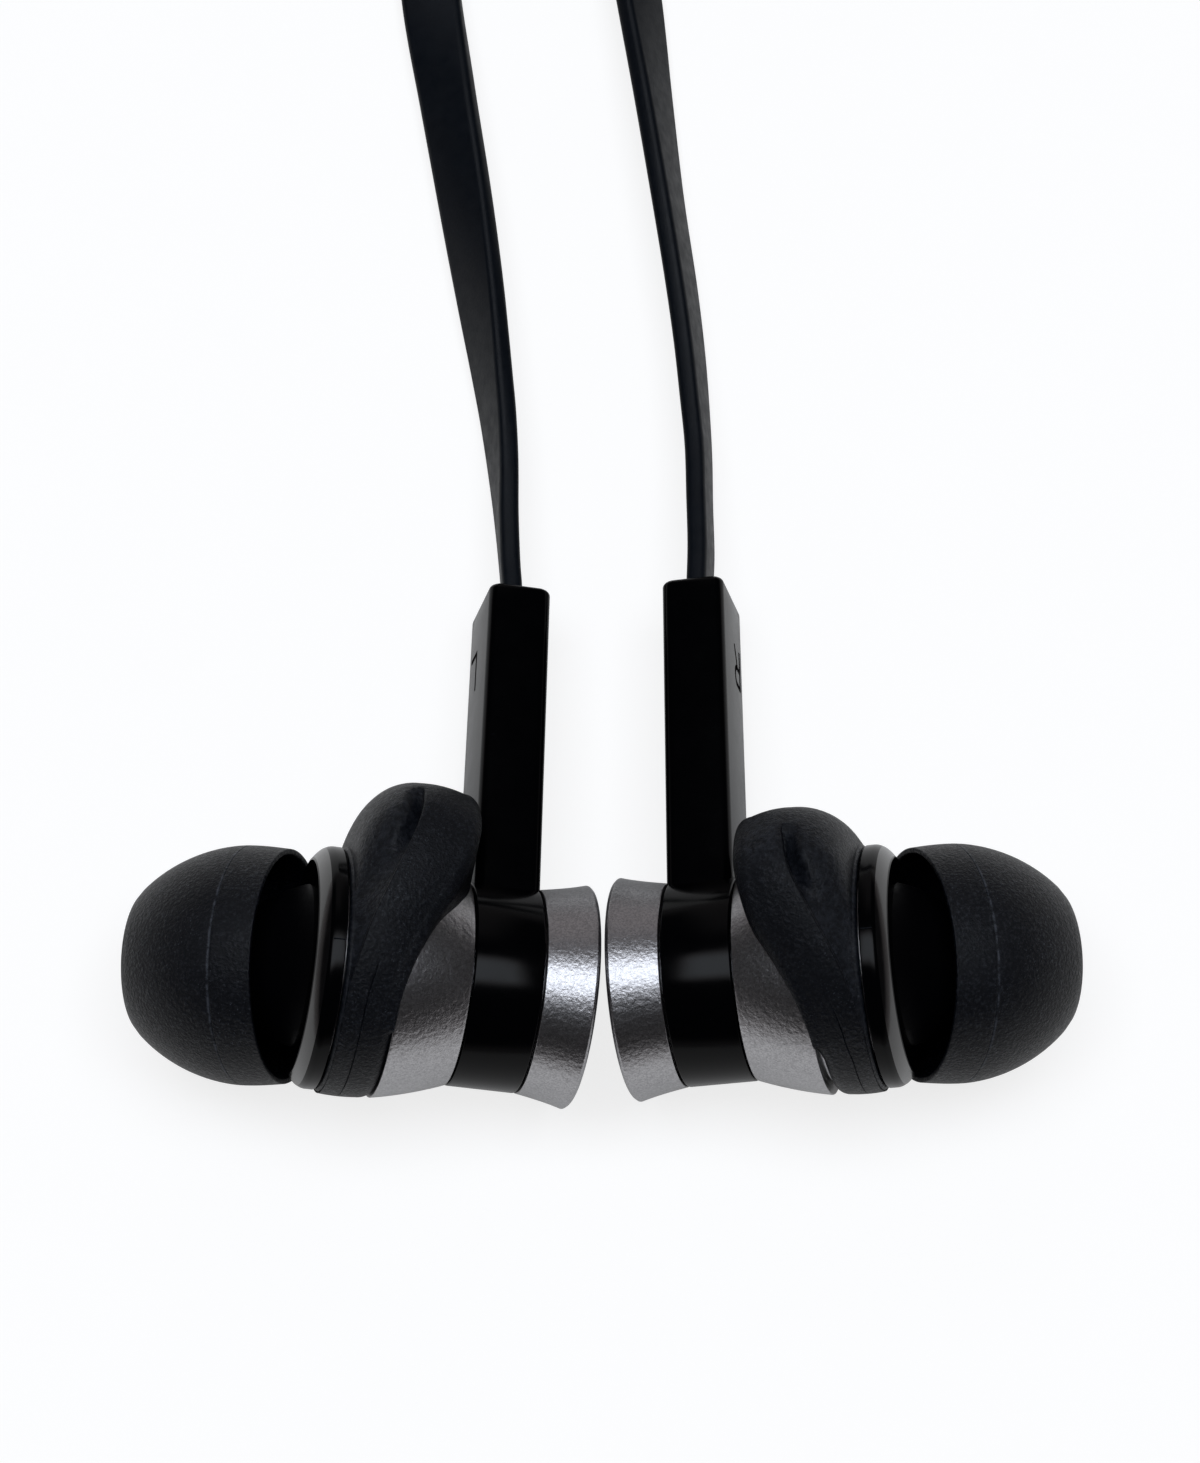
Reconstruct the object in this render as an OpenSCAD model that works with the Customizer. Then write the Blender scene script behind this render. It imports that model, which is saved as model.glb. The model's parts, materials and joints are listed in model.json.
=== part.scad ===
// Wired in-ear earphones with a flat cord, lying back to back on a surface.
// Each earpiece is modelled round its own axis: +X runs from the ear tip to the back cap,
// +Y runs up the stem, and the ring that carries the stem is centred on the origin.

/* [Driver] */
// Diameter of the driver's basket
driver_d = 10; // [9:0.1:10.6]
// Depth of the driver, from its front rim to the back of its yoke
driver_depth = 3; // [2.8:0.05:3.4]
// Diameter of the driver's magnet
magnet_d = 4.4; // [4:0.1:5]
// Radial width of the gap between the magnet and the yoke
air_gap = 0.6; // [0.5:0.05:0.8]

/* [Front shell] */
// Wall of the front shell round the driver
shell_wall = 0.8; // [0.6:0.05:1]
// Length of the front shell, from the ring to the front housing
shell_len = 6.9; // [6.4:0.1:8]
// How far the shell's flank swells beyond a straight cone
shell_bulge = 0.1; // [0:0.02:0.3]

/* [Wing sleeve] */
// Thickness of the rubber band
sleeve_wall = 0.7; // [0.5:0.05:1]
// Width of the band away from the fin
band_w = 2.9; // [2.4:0.1:3.4]
// Height of the fin above the band
fin_h = 3.9; // [3:0.1:5]
// Thickness of the fin at its top
fin_t = 2.4; // [1.8:0.1:3]
// Angle of the left fin round the body, from the stem
left_fin_angle = 37.5; // [25:0.5:60]
// Angle of the right fin round the body, from the stem
right_fin_angle = 56; // [40:0.5:75]

/* [Front housing] */
// Length of the straight rim in front of the sleeve
flange_len = 1.1; // [0.8:0.1:1.6]
// Radius of the rounded front lip
lip_round = 0.85; // [0.5:0.05:1]
// Wall of the front housing
housing_wall = 0.9; // [0.7:0.05:1.2]
// Diameter of the nozzle's neck
nozzle_d = 4.8; // [4.4:0.1:5.2]
// Length of the nozzle in front of its shoulder
nozzle_len = 5.5; // [4.8:0.1:6]
// Wall of the nozzle
nozzle_wall = 0.7; // [0.5:0.05:0.8]
// Height of the nozzle's retaining lip above its neck
nozzle_lip = 0.2; // [0.1:0.05:0.3]
// Angle by which the nozzle points below the body's axis
nozzle_droop = 26.5; // [20:0.5:30]
// Angle by which the nozzle points towards the stem
nozzle_toe = 9; // [0:0.5:15]

/* [Ear tip] */
// Largest diameter of the ear tip
tip_d = 12.8; // [12:0.1:13.4]
// Diameter of the ear tip's open rear edge
skirt_d = 12.5; // [11.8:0.1:13]
// Length of the ear tip
tip_len = 8.6; // [8:0.1:9.4]
// Thickness of the ear tip's skirt
skirt_wall = 0.5; // [0.4:0.05:0.6]
// Thickness of the skirt at its rear edge
skirt_edge = 0.3; // [0.2:0.05:0.4]
// Wall of the core that grips the nozzle
core_wall = 0.7; // [0.5:0.05:0.9]

/* [Stem] */
// Diameter of the ring
ring_d = 10.9; // [10.4:0.1:11.4]
// Width of the ring along the body's axis
ring_w = 3.7; // [3.4:0.1:4.4]
// Wall of the ring
ring_wall = 0.75; // [0.6:0.05:0.9]
// Thickness of the stem along the body's axis
stem_w = 3.25; // [2.8:0.05:3.4]
// Depth of the stem
stem_d = 5.75; // [5:0.05:6.4]
// Distance from the ring's centre to the stem's end
stem_len = 22.2; // [20:0.1:26]
// Radius of the stem's edges
stem_round = 0.6; // [0.4:0.05:0.8]
// Height of the side mark
mark_h = 2.1; // [1.6:0.1:2.4]
// Distance from the stem's end to the side mark's foot
mark_from_end = 2.5; // [2.2:0.1:6]

/* [Back cap] */
// Largest diameter of the flared back cap
cap_d = 12; // [11.4:0.1:12.6]
// Length of the back cap outside the ring
cap_len = 2.9; // [2.4:0.05:3.6]
// Radius of the back cap's rim
cap_round = 0.3; // [0.2:0.05:0.4]

/* [Cord] */
// Width of the flat cord
cord_w = 3.4; // [3:0.1:3.6]
// Thickness of the flat cord
cord_t = 1.1; // [0.9:0.05:1.2]
// Length of the splitter where the two branches meet
splitter_len = 10; // [8:0.5:12]
// Width of the strap that ties the coil
tie_w = 8; // [6:0.5:10]

/* [Plug] */
// Diameter of the plug's pin
pin_d = 3.5; // [3.4:0.05:3.6]
// Length of the pin
pin_len = 14; // [13:0.5:15]
// Diameter of the plug's grip
grip_d = 6; // [5.4:0.1:6.6]
// Length of the plug's grip
grip_len = 14; // [12:0.5:18]
// Length of the strain relief behind the grip
relief_len = 9; // [8:0.5:10]

/* [Fits] */
// Clearance between pieces that fit inside one another
fit_gap = 0.05; // [0.03:0.01:0.08]
// Visible seam between neighbouring housings
seam = 0.1; // [0.05:0.01:0.15]
// Space between the two back caps at their closest
back_gap = 0.15; // [0.1:0.05:0.5]

/* [Hidden] */
$fn = 64;
// A cut runs this far past the face that it opens
past = 0.01;

// Stations along the body's axis, counted forwards from the ring's centre
ring_front = ring_w / 2;
shell_rear = ring_front + seam;
shell_front = shell_rear + shell_len;
seat_rear = shell_front - seam - band_w;
flange_front = shell_front + flange_len;
lip_front = flange_front + lip_round;
spigot_len = 0.95;
housing_spigot = 0.8;
driver_front = shell_front - housing_spigot - fit_gap;
yoke_rear = driver_front - driver_depth;
basket_rear = yoke_rear + 0.65;
damper_t = 0.3;

// Radii about the body's axis
driver_r = driver_d / 2;
bore_r = driver_r + fit_gap;
seat_r = bore_r + shell_wall;
sleeve_bore_r = seat_r + fit_gap;
sleeve_r = sleeve_bore_r + sleeve_wall;
shell_r = sleeve_r - 0.05;
flange_r = sleeve_r - 0.15;
rear_bore_r = driver_r - 0.75;
ring_r = ring_d / 2;
ring_bore_r = ring_r - ring_wall;
spigot_r = ring_bore_r - fit_gap;
cap_r = cap_d / 2;

// The nozzle's axis crosses the body's axis at its pivot, and distances along it start there
nozzle_pivot = shell_front - 2.05;
// The skirt's rear edge passes the front lip by a distance that grows with the sleeve
skirt_back = 2.25;
skirt_at = sleeve_r - skirt_back;
seam_at = 2.4;
core_at = skirt_at + seam_at - 0.1;
shoulder_at = core_at - 0.15;
nozzle_end = shoulder_at + nozzle_len;
nozzle_r = nozzle_d / 2;
nozzle_lip_r = nozzle_r + nozzle_lip;
nozzle_bore_r = nozzle_r - nozzle_wall;
mesh_seat_r = nozzle_lip_r - 0.5;
mesh_t = 0.15;
shoulder_r = nozzle_lip_r + 0.4;
core_bore_r = nozzle_lip_r + fit_gap;
core_r = core_bore_r + core_wall;
tip_r = tip_d / 2;
skirt_r = skirt_d / 2;
sound_r = 2.05;
// The dome of the ear tip is a superellipse of this exponent, as long as its half axis
dome_power = 1.7;
dome_len = tip_len - 0.4;

// Where each earpiece lies: the turns are roll, pitch and yaw about its own ring
left_turn = [-10, 12, -4.4];
right_turn = [-9.1, 11.8, -3.1];
left_y = -8.2;
right_y = -7.9;
cap_rim_at = ring_front + cap_len - cap_round;

// Lean of a turned earpiece's axis along the row's X and Z
function lean_x(turn) = cos(turn[1]) * cos(turn[2]);
function lean_z(turn) = sin(turn[1]);
// Distance from the ring's centre to the back cap's farthest point along that axis
function cap_reach(lean) = cap_rim_at * lean + (cap_r - cap_round) * sqrt(1 - lean * lean)
    + cap_round;
left_at = [-cap_reach(lean_x(left_turn)) - back_gap / 2, left_y, cap_reach(lean_z(left_turn))];
right_at = [cap_reach(lean_x(right_turn)) + back_gap / 2, right_y, cap_reach(lean_z(right_turn))];

// The coil lies on its tie, in two layers: the branches below and the main cord above
coil_at = [14, 94];
turn_gap = 0.2;
turn_pitch = cord_t + turn_gap;
tie_t = 0.5;
layer_gap = 0.1;
lower_z = tie_t;
upper_z = lower_z + cord_w + layer_gap;
branch_turns = 2.27;
main_turns = 6.53;
branch_out_r = 22.1;
main_out_r = 24.3;
main_in_r = main_out_r - main_turns * turn_pitch;
coil_margin = cord_t / 2 + 0.1;
branch_in_r = branch_out_r - (2 * branch_turns + 1) * turn_pitch;
splitter_t = cord_t * 2 + 0.6;
splitter_h = cord_w + 0.8;
splitter_r = 13.4;
splitter_angle = 62;
tie_angle = -100;

// Routes of the cords that aren't coiled: x, y, z and the angle at which the cord stands on its edge
left_route = [
    [-5, 13.2, 3.1, 88], [-5, 14.5, 2.85, 88], [-5.1, 16, 2.6, 88], [-5.3, 19, 2.25, 84],
    [-5.5, 22, 2, 76], [-5.8, 25, 1.85, 69], [-6.1, 27.2, 1.8, 64], [-6.85, 32.3, 1.7, 50],
    [-7.8, 38.3, 1.55, 37], [-8.8, 44.3, 1.35, 29], [-9.75, 50.3, 1, 12], [-10.2, 56, 0.7, 2],
    [-10.35, 62, 0.9, 10], [-10.2, 68, 1.5, 35], [-9.8, 74, 1.9, 60], [-9.2, 80, 2.15, 80],
    [-8.6, 86, 2.2, 90], [-8.2, 91, 2.2, 90], [-8.1, 94, 2.2, 90]
];
right_route = [
    [5.3, 14.5, 3.55, 99], [5.4, 17, 3.1, 100], [5.35, 20, 2.6, 100], [5.3, 23, 2.2, 101],
    [5.1, 26, 1.95, 104], [4.85, 29, 1.8, 106], [4.4, 32.8, 1.75, 108], [3.6, 38.3, 1.75, 110],
    [2.8, 44.3, 1.7, 118], [2, 50.3, 1.55, 130], [1.1, 56, 1.5, 132], [-0.4, 62, 1.6, 125],
    [-2.6, 68, 1.8, 115], [-4.7, 74, 2, 105], [-6, 80, 2.1, 95], [-6.6, 86, 2.2, 90],
    [-6.8, 91, 2.2, 90], [-6.8, 94, 2.2, 90]
];
main_route = [
    [14, 118.3, 5.7, 90], [17, 118.2, 5.6, 90], [20, 117.9, 5.4, 90], [23.2, 117.3, 5.1, 90],
    [26.4, 116.2, 4.7, 90], [29.4, 114.8, 4.3, 90], [32.2, 112.9, 3.9, 90], [34.8, 110.7, 3.5, 90],
    [37.1, 108.1, 3.2, 90], [39.1, 105.2, 3, 90], [40.8, 102, 2.9, 90], [42, 98.8, 2.9, 90],
    [42.7, 95.4, 2.95, 90], [43, 92, 3, 90], [43, 90, 3, 90]
];
plug_at = [43, 92, grip_d / 2];

// A solid of revolution about the X axis, from points of [x, radius]
module turned(points) {
    rotate([0, 90, 0])
        rotate_extrude()
            polygon([for (p = points) [p[1], p[0]]]);
}

// A round disc about the X axis, from one x to another
module disc(x1, x2, r) {
    turned([[x1, 0], [x1, r], [x2, r], [x2, 0]]);
}

// A ring about the X axis
module collar(x1, x2, r_in, r_out) {
    turned([[x1, r_in], [x1, r_out], [x2, r_out], [x2, r_in]]);
}

// A quarter round from angle a1 to a2 about [x, r]
function round_points(x, r, radius, a1, a2, steps) =
    [for (i = [0:steps]) let (a = a1 + (a2 - a1) * i / steps) [x + radius * cos(a), r + radius * sin(a)]];

// A flank from one [x, r] to another that swells by bulge at its middle
function swollen(p, q, bulge, steps) =
    [for (i = [0:steps]) let (t = i / steps) p + (q - p) * t + [0, 4 * bulge * t * (1 - t)]];

module on_left() {
    translate(left_at)
        rotate(left_turn)
            children();
}

module on_right() {
    translate(right_at)
        mirror([1, 0, 0])
            rotate(right_turn)
                children();
}

// Children drawn along +X come out of the body along the nozzle's axis
module on_nozzle() {
    translate([-nozzle_pivot, 0, 0])
        rotate([0, nozzle_droop, 180 - nozzle_toe])
            children();
}

// ---- Ear tip -------------------------------------------------------------------------------

// Radius of the ear tip's outside, t from its rear edge
function dome(t) = t < seam_at
    ? skirt_r + (tip_r - skirt_r) * sin(90 * t / seam_at)
    : tip_r * pow(1 - pow((t - seam_at) / dome_len, dome_power), 1 / dome_power);

module ear_tip() {
    nose_round = 0.4;
    nose_at = tip_len - nose_round;
    nose_r = dome(nose_at) - nose_round;
    sound_at = nozzle_end + 0.1 - skirt_at;
    root_at = tip_len - 2.2;
    outside = concat([for (t = [0:0.6:nose_at]) [t, dome(t)]],
        round_points(nose_at, nose_r, nose_round, 60, 0, 2));
    hollow = [[root_at, core_r], [root_at, dome(root_at) - 1.4],
        [seam_at + 1.6, dome(seam_at + 1.6) - skirt_wall - 0.15], [seam_at, tip_r - skirt_wall],
        [0, skirt_r - skirt_edge]];
    core = [[tip_len, sound_r], [sound_at, sound_r], [sound_at, core_bore_r],
        [core_at - skirt_at, core_bore_r], [core_at - skirt_at, core_r]];
    color("#1b1c1f")
        on_nozzle()
            translate([skirt_at, 0, 0])
                turned(concat(outside, core, hollow));
}

// ---- Front housing with its nozzle ---------------------------------------------------------

module front_housing() {
    lip_r = flange_r - lip_round;
    cavity_r = bore_r - fit_gap - 0.6;
    cavity_front = lip_front - housing_wall;
    color("#08080a")
        difference() {
            union() {
                turned(concat([[-shell_front, 0], [-shell_front, flange_r]],
                    round_points(-flange_front, lip_r, lip_round, 90, 180, 4),
                    [[-lip_front, 0]]));
                disc(-shell_front, -shell_front + housing_spigot, bore_r - fit_gap);
                hull() {
                    disc(-lip_front, -flange_front, lip_r, $fn = 48);
                    on_nozzle()
                        disc(shoulder_at - 0.2, shoulder_at, shoulder_r, $fn = 32);
                }
                on_nozzle()
                    turned([[shoulder_at - 1, 0], [shoulder_at - 1, nozzle_bore_r],
                        [shoulder_at - 0.5, nozzle_r], [nozzle_end - 0.6, nozzle_r],
                        [nozzle_end - 0.4, nozzle_lip_r], [nozzle_end - 0.2, nozzle_lip_r],
                        [nozzle_end, nozzle_r], [nozzle_end, 0]]);
            }
            disc(-cavity_front, past - shell_front + housing_spigot, cavity_r);
            hull() {
                disc(-cavity_front - 0.1, -cavity_front, cavity_r, $fn = 48);
                on_nozzle()
                    disc(shoulder_at - 0.3, shoulder_at - 0.2, nozzle_bore_r, $fn = 32);
            }
            on_nozzle() {
                disc(shoulder_at - 0.3, nozzle_end + past, nozzle_bore_r);
                disc(nozzle_end - 2 * mesh_t, nozzle_end + past, mesh_seat_r);
            }
        }
}

module nozzle_mesh() {
    color("#3a3a3e")
        on_nozzle()
            disc(nozzle_end - 2 * mesh_t, nozzle_end - mesh_t, mesh_seat_r - fit_gap);
}

// ---- Driver --------------------------------------------------------------------------------

coil_r = magnet_d / 2 + air_gap / 2;
coil_t = 0.2;
yoke_t = 0.25;
yoke_bore_r = magnet_d / 2 + air_gap;
yoke_r = yoke_bore_r + 0.2;
plate_t = 0.5;
basket_wall = 0.25;
diaphragm_t = 0.1;
coil_front = driver_front - 0.65;

// The membrane: a dome inside the voice coil and a roll between the coil and the basket
function membrane(r) = r < coil_r
    ? 0.5 * (1 - pow(r / coil_r, 2))
    : 0.35 * sin(180 * (r - coil_r) / (driver_r - basket_wall - fit_gap - coil_r));

module diaphragm() {
    edge_r = driver_r - basket_wall - fit_gap;
    radii = [for (i = [0:12]) edge_r * i / 12];
    color("#b9b4a4")
        turned(concat([for (r = radii) [-coil_front - membrane(r) - diaphragm_t, r]],
            [for (i = [12:-1:0]) [-coil_front - membrane(radii[i]), radii[i]]]));
}

module voice_coil() {
    color("#b5652b")
        collar(-coil_front, -yoke_rear - 1.1, coil_r - coil_t / 2, coil_r + coil_t / 2);
}

module pole_plate() {
    color("#9a9da3")
        disc(-yoke_rear - yoke_t - 1.75, -yoke_rear - yoke_t - 1.25, magnet_d / 2);
}

module driver_magnet() {
    color("#55575c")
        disc(-yoke_rear - yoke_t - 1.25, -yoke_rear - yoke_t, magnet_d / 2);
}

module yoke_cup() {
    color("#9a9da3")
        turned([[-yoke_rear, 0], [-yoke_rear, yoke_r], [-yoke_rear - yoke_t - 1.75, yoke_r],
            [-yoke_rear - yoke_t - 1.75, yoke_bore_r], [-yoke_rear - yoke_t, yoke_bore_r],
            [-yoke_rear - yoke_t, 0]]);
}

module driver_basket() {
    color("#2c2d30")
        turned([[-driver_front, driver_r - basket_wall], [-driver_front, driver_r],
            [-basket_rear, driver_r], [-basket_rear, yoke_r + fit_gap],
            [-basket_rear - 0.4, yoke_r + fit_gap], [-basket_rear - 0.4, driver_r - basket_wall]]);
}

module rear_damper() {
    color("#d8d3c6")
        collar(-basket_rear, -basket_rear + damper_t, yoke_r + fit_gap, driver_r - 0.1);
}

// ---- Front shell and wing sleeve -----------------------------------------------------------

// The shell's flank behind the sleeve, grown by a margin
function flank(margin) = swollen([-seat_rear, shell_r + margin], [-shell_rear, ring_r + margin],
    shell_bulge, 6);

module front_shell() {
    step = basket_rear - damper_t - fit_gap;
    color("#a3a4a8")
        turned(concat([[-shell_front + fit_gap, seat_r], [-seat_rear, seat_r]], flank(0),
            [[-shell_rear, spigot_r], [-shell_rear + spigot_len, spigot_r],
            [-shell_rear + spigot_len, spigot_r - 0.6], [-step + 1.2, spigot_r - 0.6],
            [-step, rear_bore_r], [-step, bore_r], [-shell_front + fit_gap, bore_r]]));
}

// Places a child at a radius and an angle round the body, counted from the stem
module round_body(x, r, angle) {
    rotate([angle, 0, 0])
        translate([x, r, 0])
            children();
}

module wing_sleeve(fin_angle) {
    top_r = sleeve_r + fin_h;
    fin_r = fin_t / 2;
    shoulder_r = sleeve_r + fin_h * 0.8;
    back_x = -shell_rear - 0.2;
    front_x = -shell_front + seam;
    edge = 0.5;
    color("#17181b")
        difference() {
            union() {
                turned([[front_x, sleeve_bore_r], [front_x, sleeve_r - 0.15],
                    [front_x + 0.4, sleeve_r], [-seat_rear - seam - 0.4, sleeve_r],
                    [-seat_rear - seam, sleeve_r - 0.15], [-seat_rear - seam, sleeve_bore_r]]);
                hull() {
                    for (side = [-1, 1]) {
                        round_body(front_x + edge, sleeve_r - edge, fin_angle + 34 * side)
                            sphere(edge, $fn = 24);
                        round_body(-seat_rear - 0.2, sleeve_r - edge, fin_angle + 54 * side)
                            sphere(edge, $fn = 24);
                        round_body(back_x - edge, ring_r + 0.5, fin_angle + 22 * side)
                            sphere(edge, $fn = 24);
                        round_body(back_x - fin_r - 0.3, shoulder_r - fin_r, fin_angle + 18 * side)
                            sphere(fin_r, $fn = 24);
                        round_body(front_x + fin_t, shoulder_r - fin_t * 0.6, fin_angle + 18 * side)
                            sphere(fin_r, $fn = 24);
                    }
                    round_body(back_x - fin_r, top_r - fin_r, fin_angle)
                        sphere(fin_r, $fn = 32);
                    round_body(front_x + fin_t, top_r - fin_t * 0.6, fin_angle)
                        sphere(fin_r, $fn = 32);
                }
            }
            disc(front_x - past, -seat_rear, sleeve_bore_r);
            turned(concat([[-seat_rear - past, 0]], flank(fit_gap), [[-shell_rear, 0]]));
        }
}

// ---- Stem housing --------------------------------------------------------------------------

// A rectangle with round corners, centred on its origin
module round_rect(w, h, r) {
    square([w - 2 * r, h], center = true);
    square([w, h - 2 * r], center = true);
    for (x = [-1, 1], y = [-1, 1])
        translate([x * (w / 2 - r), y * (h / 2 - r)])
            circle(r);
}

mark_stroke = 0.3;
mark_depth = 0.15;
// Width of the letters, and how far behind the stem's middle each one starts
mark_w = mark_h * 0.7;
letter_l_at = -0.35;
letter_r_at = letter_l_at - mark_w;

// The letter L, with its foot on the origin
module letter_l() {
    square([mark_stroke, mark_h]);
    square([mark_w, mark_stroke]);
}

// The letter R
module letter_r() {
    bowl_r = mark_h * 0.29;
    bowl_at = mark_w - bowl_r;
    square([mark_stroke, mark_h]);
    translate([0, mark_h - 2 * bowl_r])
        difference() {
            union() {
                square([bowl_at, 2 * bowl_r]);
                translate([bowl_at, bowl_r])
                    circle(bowl_r);
            }
            translate([mark_stroke, mark_stroke])
                square([bowl_at - mark_stroke, 2 * (bowl_r - mark_stroke)]);
            translate([bowl_at, bowl_r])
                circle(bowl_r - mark_stroke);
        }
    translate([mark_w - mark_stroke, 0])
        rotate([0, 0, 32])
            square([mark_stroke, mark_h * 0.52]);
}

// The mark is cut into the flat side of the stem that faces the ear tip
module stem_mark(at) {
    translate([mark_depth - stem_w / 2, stem_len - mark_from_end, at])
        rotate([0, 90, 180])
            linear_extrude(mark_depth + past)
                children();
}

gland_len = 1.5;
gland_w = cord_t + 0.7;
gland_d = cord_w + 0.7;

module stem_housing() {
    color("#08080a")
        difference() {
            union() {
                disc(-ring_front, ring_front, ring_r);
                rotate([-90, 0, 0])
                    linear_extrude(stem_len)
                        round_rect(stem_w, stem_d, stem_round);
            }
            disc(-ring_front - past, ring_front + past, ring_bore_r);
            translate([-gland_w / 2, 0, -gland_d / 2])
                cube([gland_w, stem_len + past, gland_d]);
            children();
        }
}

module cord_gland() {
    color("#121214")
        translate([fit_gap - gland_w / 2, stem_len - gland_len, fit_gap - gland_d / 2])
            cube([gland_w - 2 * fit_gap, gland_len, gland_d - 2 * fit_gap]);
}

board_t = 0.6;

module terminal_board() {
    color("#1d5a34")
        difference() {
            disc(-board_t / 2, board_t / 2, ring_bore_r - fit_gap);
            translate([-board_t, ring_bore_r - 0.8, -1])
                cube([2 * board_t, 2, 2]);
        }
}

module lead_wires() {
    wire_r = 0.25;
    color("#c23b2a")
        for (z = [-0.5, 0.5])
            translate([0, ring_bore_r - 0.8, z])
                rotate([-90, 0, 0])
                    cylinder(h = stem_len - gland_len - ring_bore_r + 0.8, r = wire_r);
}

// ---- Back cap ------------------------------------------------------------------------------

module back_cap() {
    cap_end = ring_front + cap_len;
    rim_r = cap_r - cap_round;
    color("#a3a4a8")
        turned(concat([[shell_rear - spigot_len, 0], [shell_rear - spigot_len, spigot_r],
            [shell_rear, spigot_r]],
            swollen([shell_rear, ring_r], [cap_rim_at - 0.2, cap_r], -0.06, 5),
            round_points(cap_rim_at, rim_r, cap_round, 90, 0, 4),
            [[cap_end, cap_r - 0.9], [cap_end - 0.12, cap_r - 1], [cap_end - 0.12, 0]]));
}

// ---- Cords ---------------------------------------------------------------------------------

function unit(v) = v / norm(v);
function place(p) = [p[0], p[1], p[2]];
// Direction of the route at its point i
function heading(route, i) = unit(place(route[min(i + 1, len(route) - 1)]) - place(route[max(i - 1, 0)]));
// Across the cord, lying flat, and up from it
function across(t) = unit(cross(t, [0, 0, 1]));
// Corners of the cord's section, across its width and through its thickness
edge_in = 0.35;
section = [for (s = [[1, 0.4], [1 - 2 * edge_in / cord_w, 1], [2 * edge_in / cord_w - 1, 1], [-1, 0.4],
    [-1, -0.4], [2 * edge_in / cord_w - 1, -1], [1 - 2 * edge_in / cord_w, -1], [1, -0.4]])
    [s[0] * cord_w / 2, s[1] * cord_t / 2]];

function ring_at(route, i) =
    let (t = heading(route, i), h = across(t), u = cross(h, t), a = route[i][3],
        wide = cos(a) * h + sin(a) * u, thin = cross(t, wide))
    [for (s = section) place(route[i]) + s[0] * wide + s[1] * thin];

// The cord's section carried along its route
module flat_cord(route) {
    n = len(route);
    k = len(section);
    points = [for (i = [0:n - 1], p = ring_at(route, i)) p];
    sides = [for (i = [0:n - 2], j = [0:k - 1])
        [i * k + j, (i + 1) * k + j, (i + 1) * k + (j + 1) % k, i * k + (j + 1) % k]];
    color("#15171b")
        polyhedron(points, concat([[for (j = [0:k - 1]) j]], sides,
            [[for (j = [k - 1:-1:0]) (n - 1) * k + j]]), convexity = 6);
}

module cord_left() flat_cord(left_route);
module cord_right() flat_cord(right_route);
module cord_main() flat_cord(main_route);

// The outer form of a layer of turns
module coil_layer(z, r_in, r_out) {
    color("#15171b")
        translate([coil_at[0], coil_at[1], z])
            rotate_extrude()
                translate([r_in, 0])
                    square([r_out - r_in, cord_w]);
}

module branch_coil() coil_layer(lower_z, branch_in_r - coil_margin, branch_out_r + coil_margin);
module main_coil() coil_layer(upper_z, main_in_r - coil_margin, main_out_r + coil_margin);

// Children drawn along +X stand out from the coil's centre at this angle
module round_coil(angle) {
    translate([coil_at[0], coil_at[1], 0])
        rotate([0, 0, angle])
            children();
}

module splitter() {
    color("#101114")
        round_coil(splitter_angle)
            translate([splitter_r, 0, lower_z + cord_w / 2])
                rotate([90, 0, 0])
                    linear_extrude(splitter_len, center = true)
                        round_rect(splitter_t, splitter_h, 0.6);
}

module coil_tie() {
    x1 = branch_in_r - coil_margin - 0.8;
    x2 = main_out_r + coil_margin + 0.1;
    top = upper_z + cord_w + 0.1;
    color("#1c1d21")
        round_coil(tie_angle)
            difference() {
                translate([x1 - tie_t, -tie_w / 2, 0])
                    cube([x2 - x1 + 2 * tie_t, tie_w, top + tie_t]);
                translate([x1, -tie_w / 2 - past, tie_t])
                    cube([x2 - x1, tie_w + 2 * past, top - tie_t]);
            }
}

// ---- Plug ----------------------------------------------------------------------------------

// Children drawn along +X lie along the plug, from the strain relief to the pin's tip
module on_plug(at) {
    translate(plug_at)
        rotate([0, 0, -90])
            translate([at, 0, 0])
                children();
}

pin_r = pin_d / 2;
grip_r = grip_d / 2;
collar_len = 1;
pin_at = relief_len + grip_len + collar_len;
insulator_len = 0.5;
tip_contact_len = 3.5;
ring_contact_len = 2.2;
sleeve_contact_len = pin_len - tip_contact_len - ring_contact_len - 2 * insulator_len;
core_pin_r = 0.6;

module plug_relief() {
    color("#15171b")
        on_plug(0)
            turned([[0, 0], [0, cord_w / 2 + 0.2], [relief_len - 1, grip_r * 0.8],
                [relief_len, grip_r * 0.8], [relief_len, 0]]);
}

module plug_grip() {
    color("#101114")
        on_plug(relief_len)
            turned([[0, 0], [0, grip_r - 0.5], [0.5, grip_r], [grip_len - 0.8, grip_r],
                [grip_len, grip_r - 0.8], [grip_len, 0]]);
}

module plug_sleeve() {
    color("#c9a54a")
        on_plug(relief_len + grip_len)
            difference() {
                union() {
                    disc(0, collar_len, pin_r + 0.6);
                    disc(0, collar_len + sleeve_contact_len, pin_r);
                }
                disc(collar_len, collar_len + sleeve_contact_len + past, core_pin_r + 0.1);
            }
}

module plug_ring() {
    color("#c9a54a")
        on_plug(pin_at + sleeve_contact_len + insulator_len)
            collar(0, ring_contact_len, core_pin_r + 0.1, pin_r);
}

module plug_insulators() {
    color("#1a1a1c")
        on_plug(pin_at + sleeve_contact_len)
            for (x = [0, insulator_len + ring_contact_len])
                translate([x, 0, 0])
                    collar(0, insulator_len, core_pin_r + 0.1, pin_r);
}

module plug_tip() {
    color("#c9a54a")
        on_plug(pin_at + pin_len - tip_contact_len)
            union() {
                turned([[0, 0], [0, pin_r], [0.4, pin_r], [1.4, pin_r * 0.7], [1.9, pin_r * 0.95],
                    [2.3, pin_r * 0.95], [tip_contact_len - 0.2, pin_r * 0.35],
                    [tip_contact_len, 0]]);
                disc(tip_contact_len - pin_len + 0.2, 0.1, core_pin_r);
            }
}

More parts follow.
